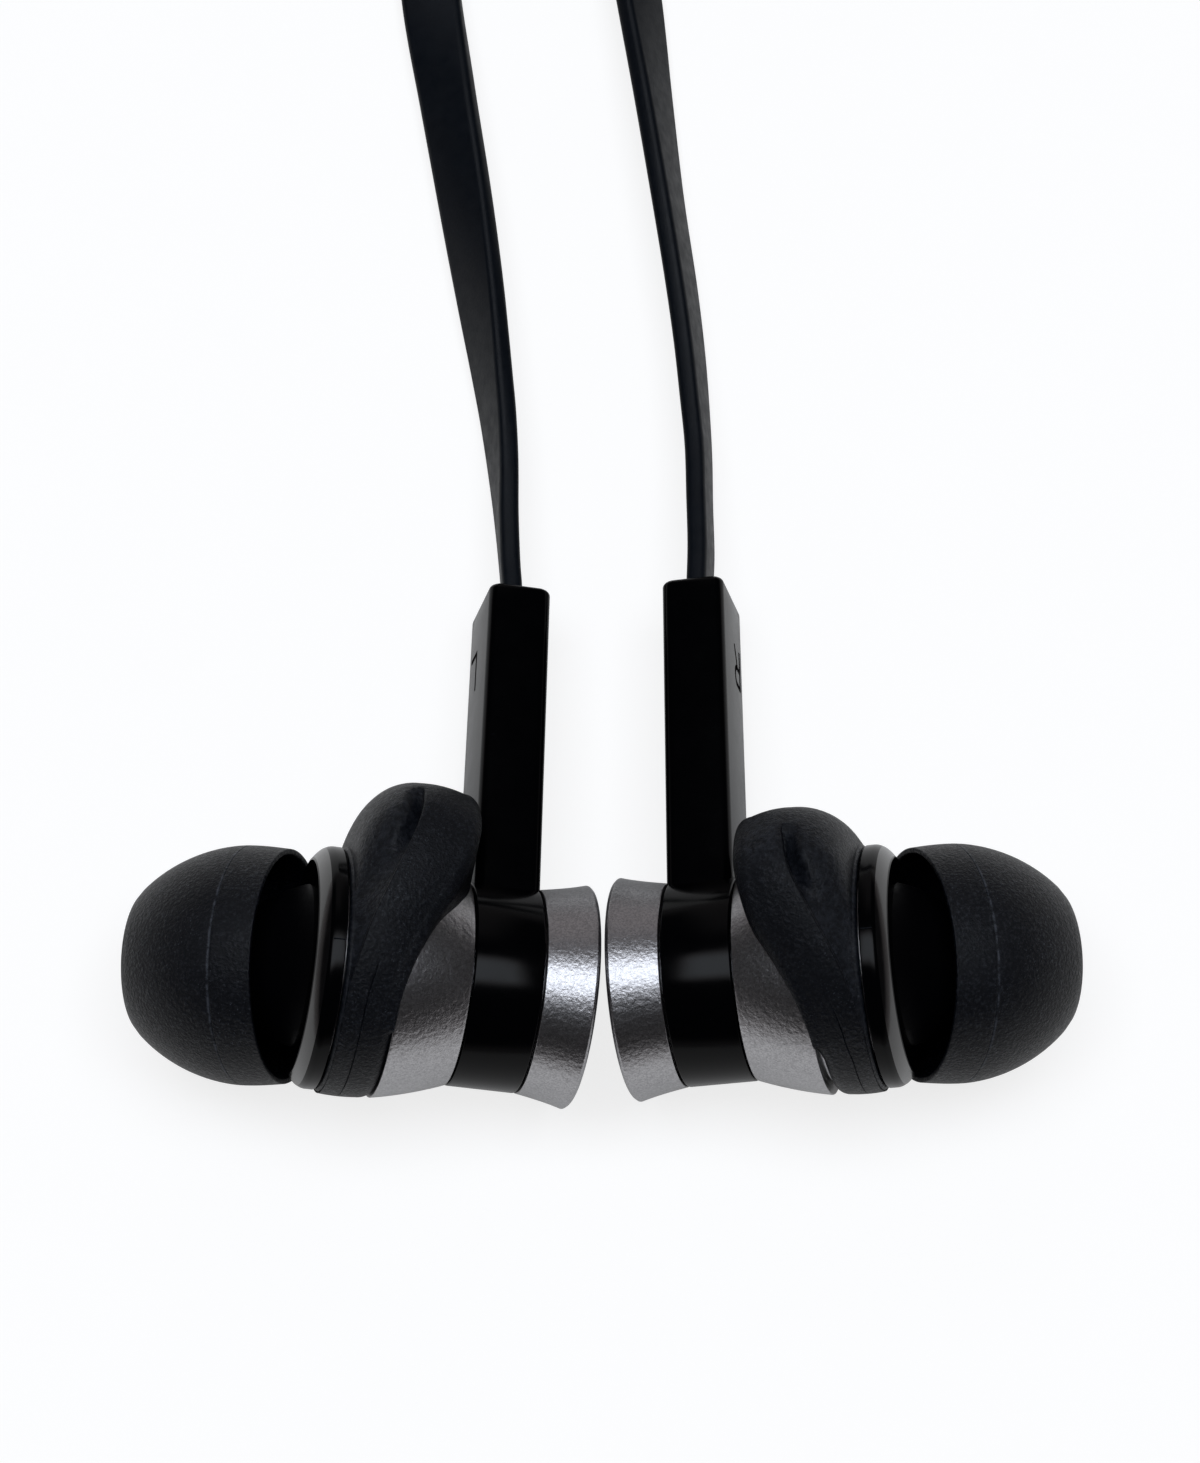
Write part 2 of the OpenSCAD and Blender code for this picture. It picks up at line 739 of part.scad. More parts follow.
// ---- The two earpieces ---------------------------------------------------------------------

module left_ear_tip() on_left() ear_tip();
module left_nozzle_mesh() on_left() nozzle_mesh();
module left_front_housing() on_left() front_housing();
module left_diaphragm() on_left() diaphragm();
module left_voice_coil() on_left() voice_coil();
module left_pole_plate() on_left() pole_plate();
module left_driver_magnet() on_left() driver_magnet();
module left_yoke_cup() on_left() yoke_cup();
module left_driver_basket() on_left() driver_basket();
module left_rear_damper() on_left() rear_damper();
module left_front_shell() on_left() front_shell();
module left_wing_sleeve() on_left() wing_sleeve(left_fin_angle);
module left_stem_housing() on_left() stem_housing() stem_mark(letter_l_at) letter_l();
module left_terminal_board() on_left() terminal_board();
module left_lead_wires() on_left() lead_wires();
module left_cord_gland() on_left() cord_gland();
module left_back_cap() on_left() back_cap();

module right_ear_tip() on_right() ear_tip();
module right_nozzle_mesh() on_right() nozzle_mesh();
module right_front_housing() on_right() front_housing();
module right_diaphragm() on_right() diaphragm();
module right_voice_coil() on_right() voice_coil();
module right_pole_plate() on_right() pole_plate();
module right_driver_magnet() on_right() driver_magnet();
module right_yoke_cup() on_right() yoke_cup();
module right_driver_basket() on_right() driver_basket();
module right_rear_damper() on_right() rear_damper();
module right_front_shell() on_right() front_shell();
module right_wing_sleeve() on_right() wing_sleeve(right_fin_angle);
module right_stem_housing() on_right() stem_housing() stem_mark(letter_r_at) mirror([1, 0]) letter_r();
module right_terminal_board() on_right() terminal_board();
module right_lead_wires() on_right() lead_wires();
module right_cord_gland() on_right() cord_gland();
module right_back_cap() on_right() back_cap();

left_ear_tip();
left_nozzle_mesh();
left_front_housing();
left_diaphragm();
left_voice_coil();
left_pole_plate();
left_driver_magnet();
left_yoke_cup();
left_driver_basket();
left_rear_damper();
left_front_shell();
left_wing_sleeve();
left_stem_housing();
left_terminal_board();
left_lead_wires();
left_cord_gland();
left_back_cap();
right_ear_tip();
right_nozzle_mesh();
right_front_housing();
right_diaphragm();
right_voice_coil();
right_pole_plate();
right_driver_magnet();
right_yoke_cup();
right_driver_basket();
right_rear_damper();
right_front_shell();
right_wing_sleeve();
right_stem_housing();
right_terminal_board();
right_lead_wires();
right_cord_gland();
right_back_cap();
cord_left();
cord_right();
branch_coil();
splitter();
main_coil();
cord_main();
coil_tie();
plug_relief();
plug_grip();
plug_sleeve();
plug_ring();
plug_tip();
plug_insulators();
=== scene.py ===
import json
import math

import bmesh
import bpy
import numpy as np
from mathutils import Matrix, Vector


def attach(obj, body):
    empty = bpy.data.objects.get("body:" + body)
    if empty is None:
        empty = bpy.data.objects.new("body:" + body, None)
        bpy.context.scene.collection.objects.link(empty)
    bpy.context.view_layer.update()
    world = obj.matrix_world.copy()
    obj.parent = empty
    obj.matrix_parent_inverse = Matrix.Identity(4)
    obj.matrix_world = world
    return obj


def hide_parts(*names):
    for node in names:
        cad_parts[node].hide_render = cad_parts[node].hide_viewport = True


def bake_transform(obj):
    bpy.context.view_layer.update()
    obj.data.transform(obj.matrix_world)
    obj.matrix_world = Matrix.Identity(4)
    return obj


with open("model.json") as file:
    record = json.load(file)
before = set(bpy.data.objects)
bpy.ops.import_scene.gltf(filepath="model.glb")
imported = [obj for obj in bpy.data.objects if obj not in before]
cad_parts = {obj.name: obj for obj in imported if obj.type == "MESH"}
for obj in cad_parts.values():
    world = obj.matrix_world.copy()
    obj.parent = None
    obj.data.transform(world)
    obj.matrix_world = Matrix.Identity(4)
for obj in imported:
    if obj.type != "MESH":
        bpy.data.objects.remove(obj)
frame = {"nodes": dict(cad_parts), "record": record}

bl_info = {
    "name": "Wired Earphones",
    "version": (1, 0, 0),
    "blender": (4, 5, 0),
    "location": "View3D > Sidebar > Earphones",
    "description": "Builds the looks of a pair of wired earphones around their packed frame",
    "category": "Object",
}

MM = 0.001
SIDES = ("left", "right")
RING_WIDTH = 3.7 * MM
CAP_DIAMETER = 12 * MM
CAP_LENGTH = 2.9 * MM


# ---- Settings ------------------------------------------------------------------------------

def metres(name, description, default):
    """A setting in metres."""
    return bpy.props.FloatProperty(name=name, description=description, default=default,
                                   unit="LENGTH")


def colour(name, description, default):
    """A setting for a colour."""
    return bpy.props.FloatVectorProperty(name=name, description=description, default=default,
                                         subtype="COLOR", min=0, max=1)


class EarphoneSettings(bpy.types.PropertyGroup):
    """Sizes and colours that the pieces are made from."""
    tip_diameter: metres("Ear tip diameter", "Largest diameter of the ear tip", 12.8 * MM)
    skirt_diameter: metres("Skirt diameter", "Diameter of the ear tip's open rear edge", 12.5 * MM)
    tip_length: metres("Ear tip length", "Length of the ear tip along the nozzle", 8.1 * MM)
    ring_diameter: metres("Ring diameter", "Diameter of the ring that carries the stem", 10.9 * MM)
    ring_width: metres("Ring width", "Width of the ring along the body's axis", RING_WIDTH)
    cap_diameter: metres("Back cap diameter", "Largest diameter of the flared back cap", CAP_DIAMETER)
    cap_length: metres("Back cap length", "Length of the back cap outside the ring", CAP_LENGTH)
    stem_width: metres("Stem width", "Thickness of the stem along the body's axis", 3.25 * MM)
    stem_depth: metres("Stem depth", "Depth of the stem", 5.75 * MM)
    stem_length: metres("Stem length", "Distance from the ring's centre to the stem's end", 22.2 * MM)
    cord_width: metres("Cord width", "Width of the flat cord", 3.4 * MM)
    cord_thickness: metres("Cord thickness", "Thickness of the flat cord", 1.1 * MM)
    segments: bpy.props.IntProperty(
        name="Segments", description="Divisions round each turned piece",
        default=144, min=24, max=256)
    plastic_colour: colour("Plastic", "Polished plastic of the housings", (0.0006, 0.0007, 0.001))
    shell_colour: colour("Shells", "Brightest flakes of the metallic paint", (0.37, 0.367, 0.378))
    rubber_colour: colour("Rubber", "Ear tips and wing sleeves", (0.0007, 0.0014, 0.0032))
    # Also the colour of the painted sheen on the sleeves' ramp and the painted highlight on the right
    # belt
    dust_and_sheen_colour: colour("Dust", "Dust in the grain of the rubber", (0.042, 0.047, 0.058))
    cord_colour: colour("Cord", "Palest tone of the cords", (0.004, 0.006, 0.0095))


def settings():
    """The sizes and colours of this scene."""
    return bpy.context.scene.earphones


# ---- Where the earpieces lie ---------------------------------------------------------------

# Roll, pitch and yaw of each earpiece in degrees, and the place of its ring's centre along Y
TURN = {"left": (-10.0, 12.0, -4.4), "right": (-9.1, 11.8, -3.1)}
CENTRE_Y = {"left": -8.2 * MM, "right": -7.9 * MM}
CAP_ROUND = 0.3 * MM
CAP_GAP = 0.15 * MM


def rotation(roll, pitch, yaw):
    """Turns about X, then Y, then Z, as one matrix."""
    r, p, y = (math.radians(a) for a in (roll, pitch, yaw))
    rx = np.array([[1, 0, 0], [0, math.cos(r), -math.sin(r)], [0, math.sin(r), math.cos(r)]])
    ry = np.array([[math.cos(p), 0, math.sin(p)], [0, 1, 0], [-math.sin(p), 0, math.cos(p)]])
    rz = np.array([[math.cos(y), -math.sin(y), 0], [math.sin(y), math.cos(y), 0], [0, 0, 1]])
    return rz @ ry @ rx


def resting_centre(side):
    """The ring's centre when the cap rests on the surface and the two caps nearly touch.

    Towards a direction whose cosine with the body's axis is c, the cap's rim reaches
    a c + r sqrt(1 - c^2) + e, with a its place on the axis, r its radius and e its rounding.
    """
    _, pitch, yaw = (math.radians(a) for a in TURN[side])
    rim_at = RING_WIDTH / 2 + CAP_LENGTH - CAP_ROUND
    rim_r = CAP_DIAMETER / 2 - CAP_ROUND

    def reach(c):
        return rim_at * c + rim_r * math.sqrt(1 - c * c) + CAP_ROUND

    x = reach(math.cos(pitch) * math.cos(yaw)) + CAP_GAP / 2
    return np.array((-x if side == "left" else x, CENTRE_Y[side], reach(math.sin(pitch))))


def placed(points, side):
    """Points of an earpiece's own axes put where that earpiece lies.

    The right earpiece is the left one's mirror image across X, before it is moved.
    """
    turned_points = np.asarray(points, float) @ rotation(*TURN[side]).T
    if side == "right":
        turned_points = turned_points * np.array((-1, 1, 1))
    return turned_points + resting_centre(side)


NOZZLE_PIVOT = 6.8 * MM
NOZZLE_DROOP = 26.5
NOZZLE_TOE = 9.0


def along_nozzle(points):
    """Points drawn along +X put on the nozzle's axis, which droops and toes in."""
    turn = rotation(0, NOZZLE_DROOP, 180 - NOZZLE_TOE)
    return np.asarray(points, float) @ turn.T + np.array((-NOZZLE_PIVOT, 0, 0))


# ---- Surfaces ------------------------------------------------------------------------------

def rounded(points, radii, steps=5):
    """A line whose inner corners are replaced by arcs.

    At a corner of half angle h, the arc of radius r starts r / tan(h) from the corner and has
    its centre r / sin(h) away on the bisector. It is cut short where a side is too short.
    """
    points = [np.array(p, float) for p in points]
    radii = [radii] * len(points) if np.isscalar(radii) else list(radii)
    out = [points[0]]
    for before, p, after, radius in zip(points, points[1:], points[2:], radii[1:]):
        u, v = before - p, after - p
        lu, lv = np.linalg.norm(u), np.linalg.norm(v)
        u, v = u / lu, v / lv
        half = math.acos(max(-1, min(1, float(u @ v)))) / 2
        if radius <= 0 or half > 1.55:
            out.append(p)
            continue
        reach = min(radius / math.tan(half), 0.49 * lu, 0.49 * lv)
        r = reach * math.tan(half)
        bisector = (u + v) / np.linalg.norm(u + v)
        centre = p + bisector * r / math.sin(half)
        a, b = p + u * reach - centre, p + v * reach - centre
        sweep = math.acos(max(-1, min(1, float(a @ b) / (r * r))))
        for i in range(steps + 1):
            t = i / steps
            out.append(centre + (math.sin((1 - t) * sweep) * a + math.sin(t * sweep) * b)
                       / math.sin(sweep))
    out.append(points[-1])
    return np.array(out)


def smooth_line(points, count):
    """A centripetal Catmull-Rom curve through points, at evenly spaced parameter values.

    Knots are a square root of a chord apart, and each stretch blends three lines, then two.
    """
    p = np.asarray(points, float)
    p = np.vstack([2 * p[0] - p[1], p, 2 * p[-1] - p[-2]])
    chords = np.linalg.norm(np.diff(p[:, :3], axis=0), axis=1)
    knots = np.concatenate([[0], np.cumsum(np.maximum(np.sqrt(chords), 1e-9))])
    t = np.linspace(knots[1], knots[-2], count)
    i = np.clip(np.searchsorted(knots, t, side="right") - 1, 1, len(p) - 3)
    t = t[:, None]
    k = [knots[i + j][:, None] for j in (-1, 0, 1, 2)]
    q = [p[i + j] for j in (-1, 0, 1, 2)]

    def blend(a, b, low, high):
        return (high - t) / (high - low) * a + (t - low) / (high - low) * b

    lines = [blend(q[j], q[j + 1], k[j], k[j + 1]) for j in range(3)]
    bends = [blend(lines[j], lines[j + 1], k[j], k[j + 2]) for j in range(2)]
    return blend(bends[0], bends[1], k[1], k[2])


def smoothstep(low, high, x):
    """0 below low, 1 above high, and 3t^2 - 2t^3 between them."""
    t = np.clip((np.asarray(x, float) - low) / (high - low), 0, 1)
    return t * t * (3 - 2 * t)


def bell(x, centre, width):
    """exp of minus the squared distance from the centre in widths."""
    return np.exp(-((np.asarray(x, float) - centre) / width) ** 2)


def turned(profile, segments=None):
    """Rings of points round the X axis, one for each [x, r] of the profile.

    A ring's points are x, r cos(t) and r sin(t), with t going once round.
    """
    segments = segments or settings().segments
    profile = np.asarray(profile, float)
    t = np.linspace(0, 2 * math.pi, segments, endpoint=False)
    x = np.repeat(profile[:, :1], segments, axis=1)
    return np.stack([x, profile[:, 1:2] * np.cos(t), profile[:, 1:2] * np.sin(t)], axis=2)


def skin(name, rings, joined=False, ends=True, sharp=38, dust=None):
    """A mesh over rings of points, closed round each ring.

    Joined rings close the last one to the first. Otherwise each end is closed by one face.
    """
    rows, cols = rings.shape[:2]
    index = np.arange(rows * cols).reshape(rows, cols)
    nxt = np.roll(index, -1, axis=1)
    lower, upper = (index, np.roll(index, -1, axis=0)) if joined else (index[:-1], index[1:])
    lower_n, upper_n = (nxt, np.roll(nxt, -1, axis=0)) if joined else (nxt[:-1], nxt[1:])
    faces = np.stack([lower, lower_n, upper_n, upper], axis=2).reshape(-1, 4).tolist()
    if not joined and ends:
        faces.append(index[0][::-1].tolist())
        faces.append(index[-1].tolist())
    mesh = bpy.data.meshes.new(name)
    mesh.from_pydata(rings.reshape(-1, 3).tolist(), [], faces)
    if dust is not None:
        layer = mesh.attributes.new("dust", "FLOAT", "POINT")
        layer.data.foreach_set("value", np.broadcast_to(dust, (rows, cols)).ravel())
    return finished(name, mesh, sharp)


def finished(name, mesh, sharp=38):
    """The object of a mesh whose doubled points are merged and whose faces look outwards."""
    b = bmesh.new()
    b.from_mesh(mesh)
    bmesh.ops.remove_doubles(b, verts=b.verts, dist=2e-7)
    bmesh.ops.recalc_face_normals(b, faces=b.faces)
    b.to_mesh(mesh)
    b.free()
    mesh.polygons.foreach_set("use_smooth", np.ones(len(mesh.polygons), bool))
    mesh.set_sharp_from_angle(angle=math.radians(sharp))
    mesh.update()
    obj = bpy.data.objects.new(name, mesh)
    bpy.context.scene.collection.objects.link(obj)
    return obj


def dressed(obj, body, slot_name, *nodes, material=None):
    """Gives a piece its material and the body it rides on, and hides the nodes it stands for.

    Without a material of its own it gets its slot's, and a piece that is blended has no body.
    """
    obj.data.materials.append(material or material_for(slot_name))
    if body:
        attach(obj, body)
    if nodes:
        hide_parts(*nodes)
    return obj


def turned_piece(side, name, profile, slot_name, node_name, **options):
    """A turned piece that rides on an earpiece and stands for one of its nodes."""
    obj = skin(f"{side}_{name}_skin", placed(turned(profile), side), **options)
    dressed(obj, f"{side}_earpiece", slot_name, f"{side}_{node_name}")


# ---- Materials -----------------------------------------------------------------------------

def new_material(name, base, roughness, metallic=0.0, specular=0.5):
    """The node tree and shader of a new material."""
    material = bpy.data.materials.new(name)
    material.use_nodes = True
    shader = material.node_tree.nodes["Principled BSDF"]
    shader.inputs["Base Color"].default_value = (*base, 1)
    shader.inputs["Roughness"].default_value = roughness
    shader.inputs["Metallic"].default_value = metallic
    shader.inputs["Specular IOR Level"].default_value = specular
    return material.node_tree, shader


def node(tree, kind, inputs=None, **options):
    """A new node with its options set and its inputs set to values or linked to sockets."""
    n = tree.nodes.new(kind)
    for key, value in options.items():
        setattr(n, key, value)
    for key, value in (inputs or {}).items():
        if isinstance(value, bpy.types.NodeSocket):
            tree.links.new(value, n.inputs[key])
        else:
            n.inputs[key].default_value = value
    return n


def coordinates(tree, scale=(1, 1, 1)):
    """The object's own coordinates, scaled along each axis."""
    where = node(tree, "ShaderNodeTexCoord").outputs["Object"]
    return node(tree, "ShaderNodeMapping", {"Vector": where, "Scale": scale}).outputs["Vector"]


def noise(tree, scale, detail=3.0, roughness=0.5, where=None):
    """Noise over the object's own coordinates, scale counting its features in one metre."""
    return node(tree, "ShaderNodeTexNoise", {
        "Vector": where or coordinates(tree), "Scale": scale, "Detail": detail,
        "Roughness": roughness}).outputs["Fac"]


def between(tree, value, low, high, to_low, to_high):
    """Maps a value straight from one range to another."""
    return node(tree, "ShaderNodeMapRange", {
        "Value": value, "From Min": low, "From Max": high, "To Min": to_low,
        "To Max": to_high}).outputs["Result"]


def mixed(tree, factor, a, b):
    """A colour that goes from a to b with a factor."""
    n = node(tree, "ShaderNodeMix", data_type="RGBA")
    tree.links.new(factor, n.inputs["Factor"])
    for key, value in (("A", a), ("B", b)):
        socket = [s for s in n.inputs if s.name == key and s.type == "RGBA"][0]
        if isinstance(value, bpy.types.NodeSocket):
            tree.links.new(value, socket)
        else:
            socket.default_value = (*value, 1)
    return [s for s in n.outputs if s.type == "RGBA"][0]


def coloured(tree, shader, factor, a, b):
    """Mixes two colours by a factor into the shader's base."""
    tree.links.new(mixed(tree, factor, a, b), shader.inputs["Base Color"])


def roughened(tree, shader, value, low, high, start=0.3, end=0.7):
    """Lets the roughness go from low to high as a value goes from start to end."""
    tree.links.new(between(tree, value, start, end, low, high), shader.inputs["Roughness"])


def bump(tree, shader, height, strength, distance):
    """Raises the surface's shading by a height."""
    n = node(tree, "ShaderNodeBump", {
        "Height": height, "Strength": strength, "Distance": distance})
    tree.links.new(n.outputs["Normal"], shader.inputs["Normal"])


def math_node(tree, operation, *values):
    """The result of one operation on one, two or three values."""
    return node(tree, "ShaderNodeMath", dict(enumerate(values)), operation=operation).outputs[0]


def product(tree, first, *others):
    """The product of any number of values."""
    for value in others:
        first = math_node(tree, "MULTIPLY", first, value)
    return first


def largest(tree, first, *others):
    """The largest of any number of values."""
    for value in others:
        first = math_node(tree, "MAXIMUM", first, value)
    return first


def gloss_black(name):
    """Polished moulded plastic: a few specks of dust and a very shallow ripple."""
    t, shader = new_material(name, (0.0008, 0.0008, 0.0012), 0.1, specular=0.08)
    specks = between(t, noise(t, 9000, 2.0), 0.74, 0.8, 0.0, 1.0)
    coloured(t, shader, specks, settings().plastic_colour, (0.006, 0.007, 0.01))
    roughened(t, shader, noise(t, 700, 4.0), 0.12, 0.18)
    bump(t, shader, noise(t, 900, 2.0), 0.02, 0.00005)


def polished_rim(name):
    """The lip's polished edge: the same plastic with a brighter shine."""
    t, shader = new_material(name, (0.001, 0.001, 0.0014), 0.16, specular=0.75)
    roughened(t, shader, noise(t, 900, 4.0), 0.12, 0.2)
    bump(t, shader, noise(t, 1200, 2.0), 0.02, 0.00005)


def painted_shade(name):
    """The nozzle's moulding: the polished plastic dulled and darkened, a painted shade under the soft
    tip.
    """
    t, shader = new_material(name, (0.001, 0.001, 0.0014), 0.5, specular=0.025)
    roughened(t, shader, noise(t, 800, 3.0), 0.4, 0.55)
    bump(t, shader, noise(t, 9000, 2.0), 0.15, 0.00003)


def silver_paint(name):
    """Metallic paint: flakes that vary in tone, and a fine grain in the bump and roughness."""
    t, shader = new_material(name, (0.31, 0.31, 0.32), 0.3, metallic=1.0)
    flakes = node(t, "ShaderNodeTexVoronoi", {"Vector": coordinates(t), "Scale": 14000.0})
    tone = node(t, "ShaderNodeSeparateColor", {"Color": flakes.outputs["Color"]}).outputs["Red"]
    coloured(t, shader, tone, (0.25, 0.248, 0.256), settings().shell_colour)
    roughened(t, shader, noise(t, 5000, 3.0), 0.28, 0.34)
    bump(t, shader, noise(t, 3600, 3.0, 0.6), 0.5, 0.00006)


def black_silicone(name):
    """Soft silicone: a satin skin with a fine grain, and dust in patches and along the seams.

    The dust attribute is 1 where a moulding seam holds it. On the sleeves it is lower, and there the
    same mix paints a sheen on the ramp and a highlight on the right belt at its fin.
    """
    t, shader = new_material(name, (0.003, 0.003, 0.004), 0.44, specular=0.15)
    patches = between(t, noise(t, 420, 4.0), 0.4, 0.66, 0.0, 1.0)
    specks = between(t, noise(t, 9000, 2.0, 0.7), 0.6, 0.7, 0.0, 1.0)
    # From the skin's attribute: dust along the seams, and on the sleeves a painted sheen and a painted
    # highlight
    seam = product(t, node(t, "ShaderNodeAttribute", attribute_name="dust").outputs["Fac"],
                   between(t, noise(t, 2600, 4.0, 0.7), 0.42, 0.62, 0.1, 1.3))
    grain = noise(t, 5200, 3.0, 0.65)
    pale = product(t, between(t, grain, 0.5, 0.72, 0.0, 1.0),
                   between(t, noise(t, 260, 3.0), 0.35, 0.65, 0.14, 0.44))
    dust = largest(t, product(t, patches, specks), seam, pale)
    coloured(t, shader, dust, settings().rubber_colour, settings().dust_and_sheen_colour)
    roughened(t, shader, grain, 0.46, 0.32, 0.45, 0.7)
    bump(t, shader, grain, 0.8, 0.0001)


def cord_jacket(name):
    """Extruded soft jacket: satin, with a slight unevenness in tone and shine."""
    t, shader = new_material(name, (0.003, 0.0045, 0.007), 0.42, specular=0.12)
    coloured(t, shader, noise(t, 600, 4.0), (0.0022, 0.0034, 0.0056), settings().cord_colour)
    roughened(t, shader, noise(t, 1500, 3.0), 0.36, 0.48)
    bump(t, shader, noise(t, 6000, 3.0, 0.6), 0.15, 0.00005)


def matt_black(name):
    """Fine-grained plastic of the grip, the splitter and the hidden mouldings."""
    t, shader = new_material(name, (0.006, 0.006, 0.0075), 0.5, specular=0.15)
    roughened(t, shader, noise(t, 900, 3.0), 0.42, 0.56)
    bump(t, shader, noise(t, 12000, 3.0), 0.2, 0.00004)


def mark_paint(name):
    """The side mark: dull, so that it stays dark beside the polish round it."""
    t, shader = new_material(name, (0.0015, 0.0015, 0.002), 0.9, specular=0.02)
    bump(t, shader, noise(t, 9000, 2.0), 0.2, 0.00002)


def woven(name, base, dark, scale, metallic, roughness, depth):
    """Crossing threads: two sine waves at right angles, their product raised as bump."""
    t, shader = new_material(name, base, roughness, metallic=metallic)
    where = coordinates(t)
    waves = [node(t, "ShaderNodeTexWave", {"Vector": where, "Scale": scale},
                  wave_type="BANDS", bands_direction=d).outputs["Fac"] for d in "YZ"]
    threads = product(t, *waves)
    coloured(t, shader, threads, dark, base)
    bump(t, shader, threads, 0.8, depth)


def plain_metal(name, base, roughness, brushing=3000.0):
    """Drawn or plated metal: roughness and tone streaked along one direction."""
    t, shader = new_material(name, base, roughness, metallic=1.0)
    streaks = noise(t, brushing, 3.0, where=coordinates(t, (1, 0.1, 1)))
    roughened(t, shader, streaks, roughness * 0.8, roughness * 1.25)
    coloured(t, shader, streaks, tuple(c * 0.8 for c in base), base)
    bump(t, shader, streaks, 0.1, 0.00003)


def plain_solid(name, base, roughness, grain=5000.0, strength=0.2):
    """Film, felt or solder mask: uneven tone with a fine grain."""
    t, shader = new_material(name, base, roughness)
    coloured(t, shader, noise(t, grain / 4, 4.0), tuple(c * 0.75 for c in base), base)
    bump(t, shader, noise(t, grain, 3.0), strength, 0.00005)


# For each slot or finish its material's name, the function that makes it, and its values
FINISHES = {
    "gloss_black": ("polished_plastic", gloss_black),
    "polished_rim": ("polished_edge", polished_rim),
    "painted_shade": ("painted_shade_plastic", painted_shade),
    "silver_shell": ("metallic_paint", silver_paint),
    "black_silicone": ("soft_silicone", black_silicone),
    "cord_jacket": ("flat_cord_skin", cord_jacket),
    "matt_black": ("dull_plastic", matt_black),
    "mark_paint": ("mark_paint", mark_paint),
    "mesh_steel": ("woven_steel", woven, (0.3, 0.3, 0.32), (0.01, 0.01, 0.01), 2500.0, 1.0, 0.35,
                   0.00006),
    "driver_steel": ("drawn_steel", plain_metal, (0.5, 0.5, 0.52), 0.35),
    "membrane_film": ("thin_film", plain_solid, (0.6, 0.56, 0.46), 0.3),
    "copper_wire": ("enamelled_copper", plain_metal, (0.65, 0.28, 0.12), 0.3, 8000.0),
    "magnet_plate": ("bright_nickel", plain_metal, (0.55, 0.55, 0.57), 0.15),
    "board_green": ("solder_mask", plain_solid, (0.02, 0.16, 0.06), 0.35),
    "damper_felt": ("pressed_felt", plain_solid, (0.65, 0.62, 0.55), 0.9, 7000.0, 0.7),
    "contact_gold": ("polished_gold", plain_metal, (0.83, 0.62, 0.28), 0.16),
    "tie_strap": ("woven_strap", woven, (0.03, 0.03, 0.034), (0.01, 0.01, 0.012), 900.0, 0.0, 0.8,
                  0.0001),
}


def material_for(kind):
    """The material of a slot or finish, made when it is first asked for."""
    name, make, *values = FINISHES[kind]
    if name not in bpy.data.materials:
        make(name, *values)
    return bpy.data.materials[name]


# ---- Ear tips ------------------------------------------------------------------------------

SLEEVE_R = 6.6 * MM
SKIRT_AT = SLEEVE_R - 2.25 * MM
SEAM_AT = 2.4 * MM
CORE_AT = SKIRT_AT + SEAM_AT - 0.1 * MM
SHOULDER_AT = CORE_AT - 0.15 * MM
NOZZLE_END = SHOULDER_AT + 5.5 * MM
DOME_POWER = 1.85
WIDEST_AT = 2.2 * MM
# How each soft tip sits on its nozzle: a shift along it, then a turn and a lift in radians
TIP_SEAT = {"left": (0.0, 0.055, 0.0), "right": (-0.1 * MM, 0.02, -0.01)}


def dome(t):
    """Radius of the ear tip's outside, t from its rear edge.

    Before the seam it grows by a sine, and after it it follows a superellipse.
    """
    s = settings()
    t = np.asarray(t, float)
    skirt_r, tip_r = s.skirt_diameter / 2, s.tip_diameter / 2
    length = s.tip_length - 0.5 * MM
    rear = skirt_r + (tip_r - skirt_r) * np.sin(np.clip(t / WIDEST_AT, 0, 1) * math.pi / 2)
    share = np.clip((t - WIDEST_AT) / length, 0, 1)
    front = tip_r * np.clip(1 - share ** DOME_POWER, 0, 1) ** (1 / DOME_POWER)
    return np.where(t < WIDEST_AT, rear, front)


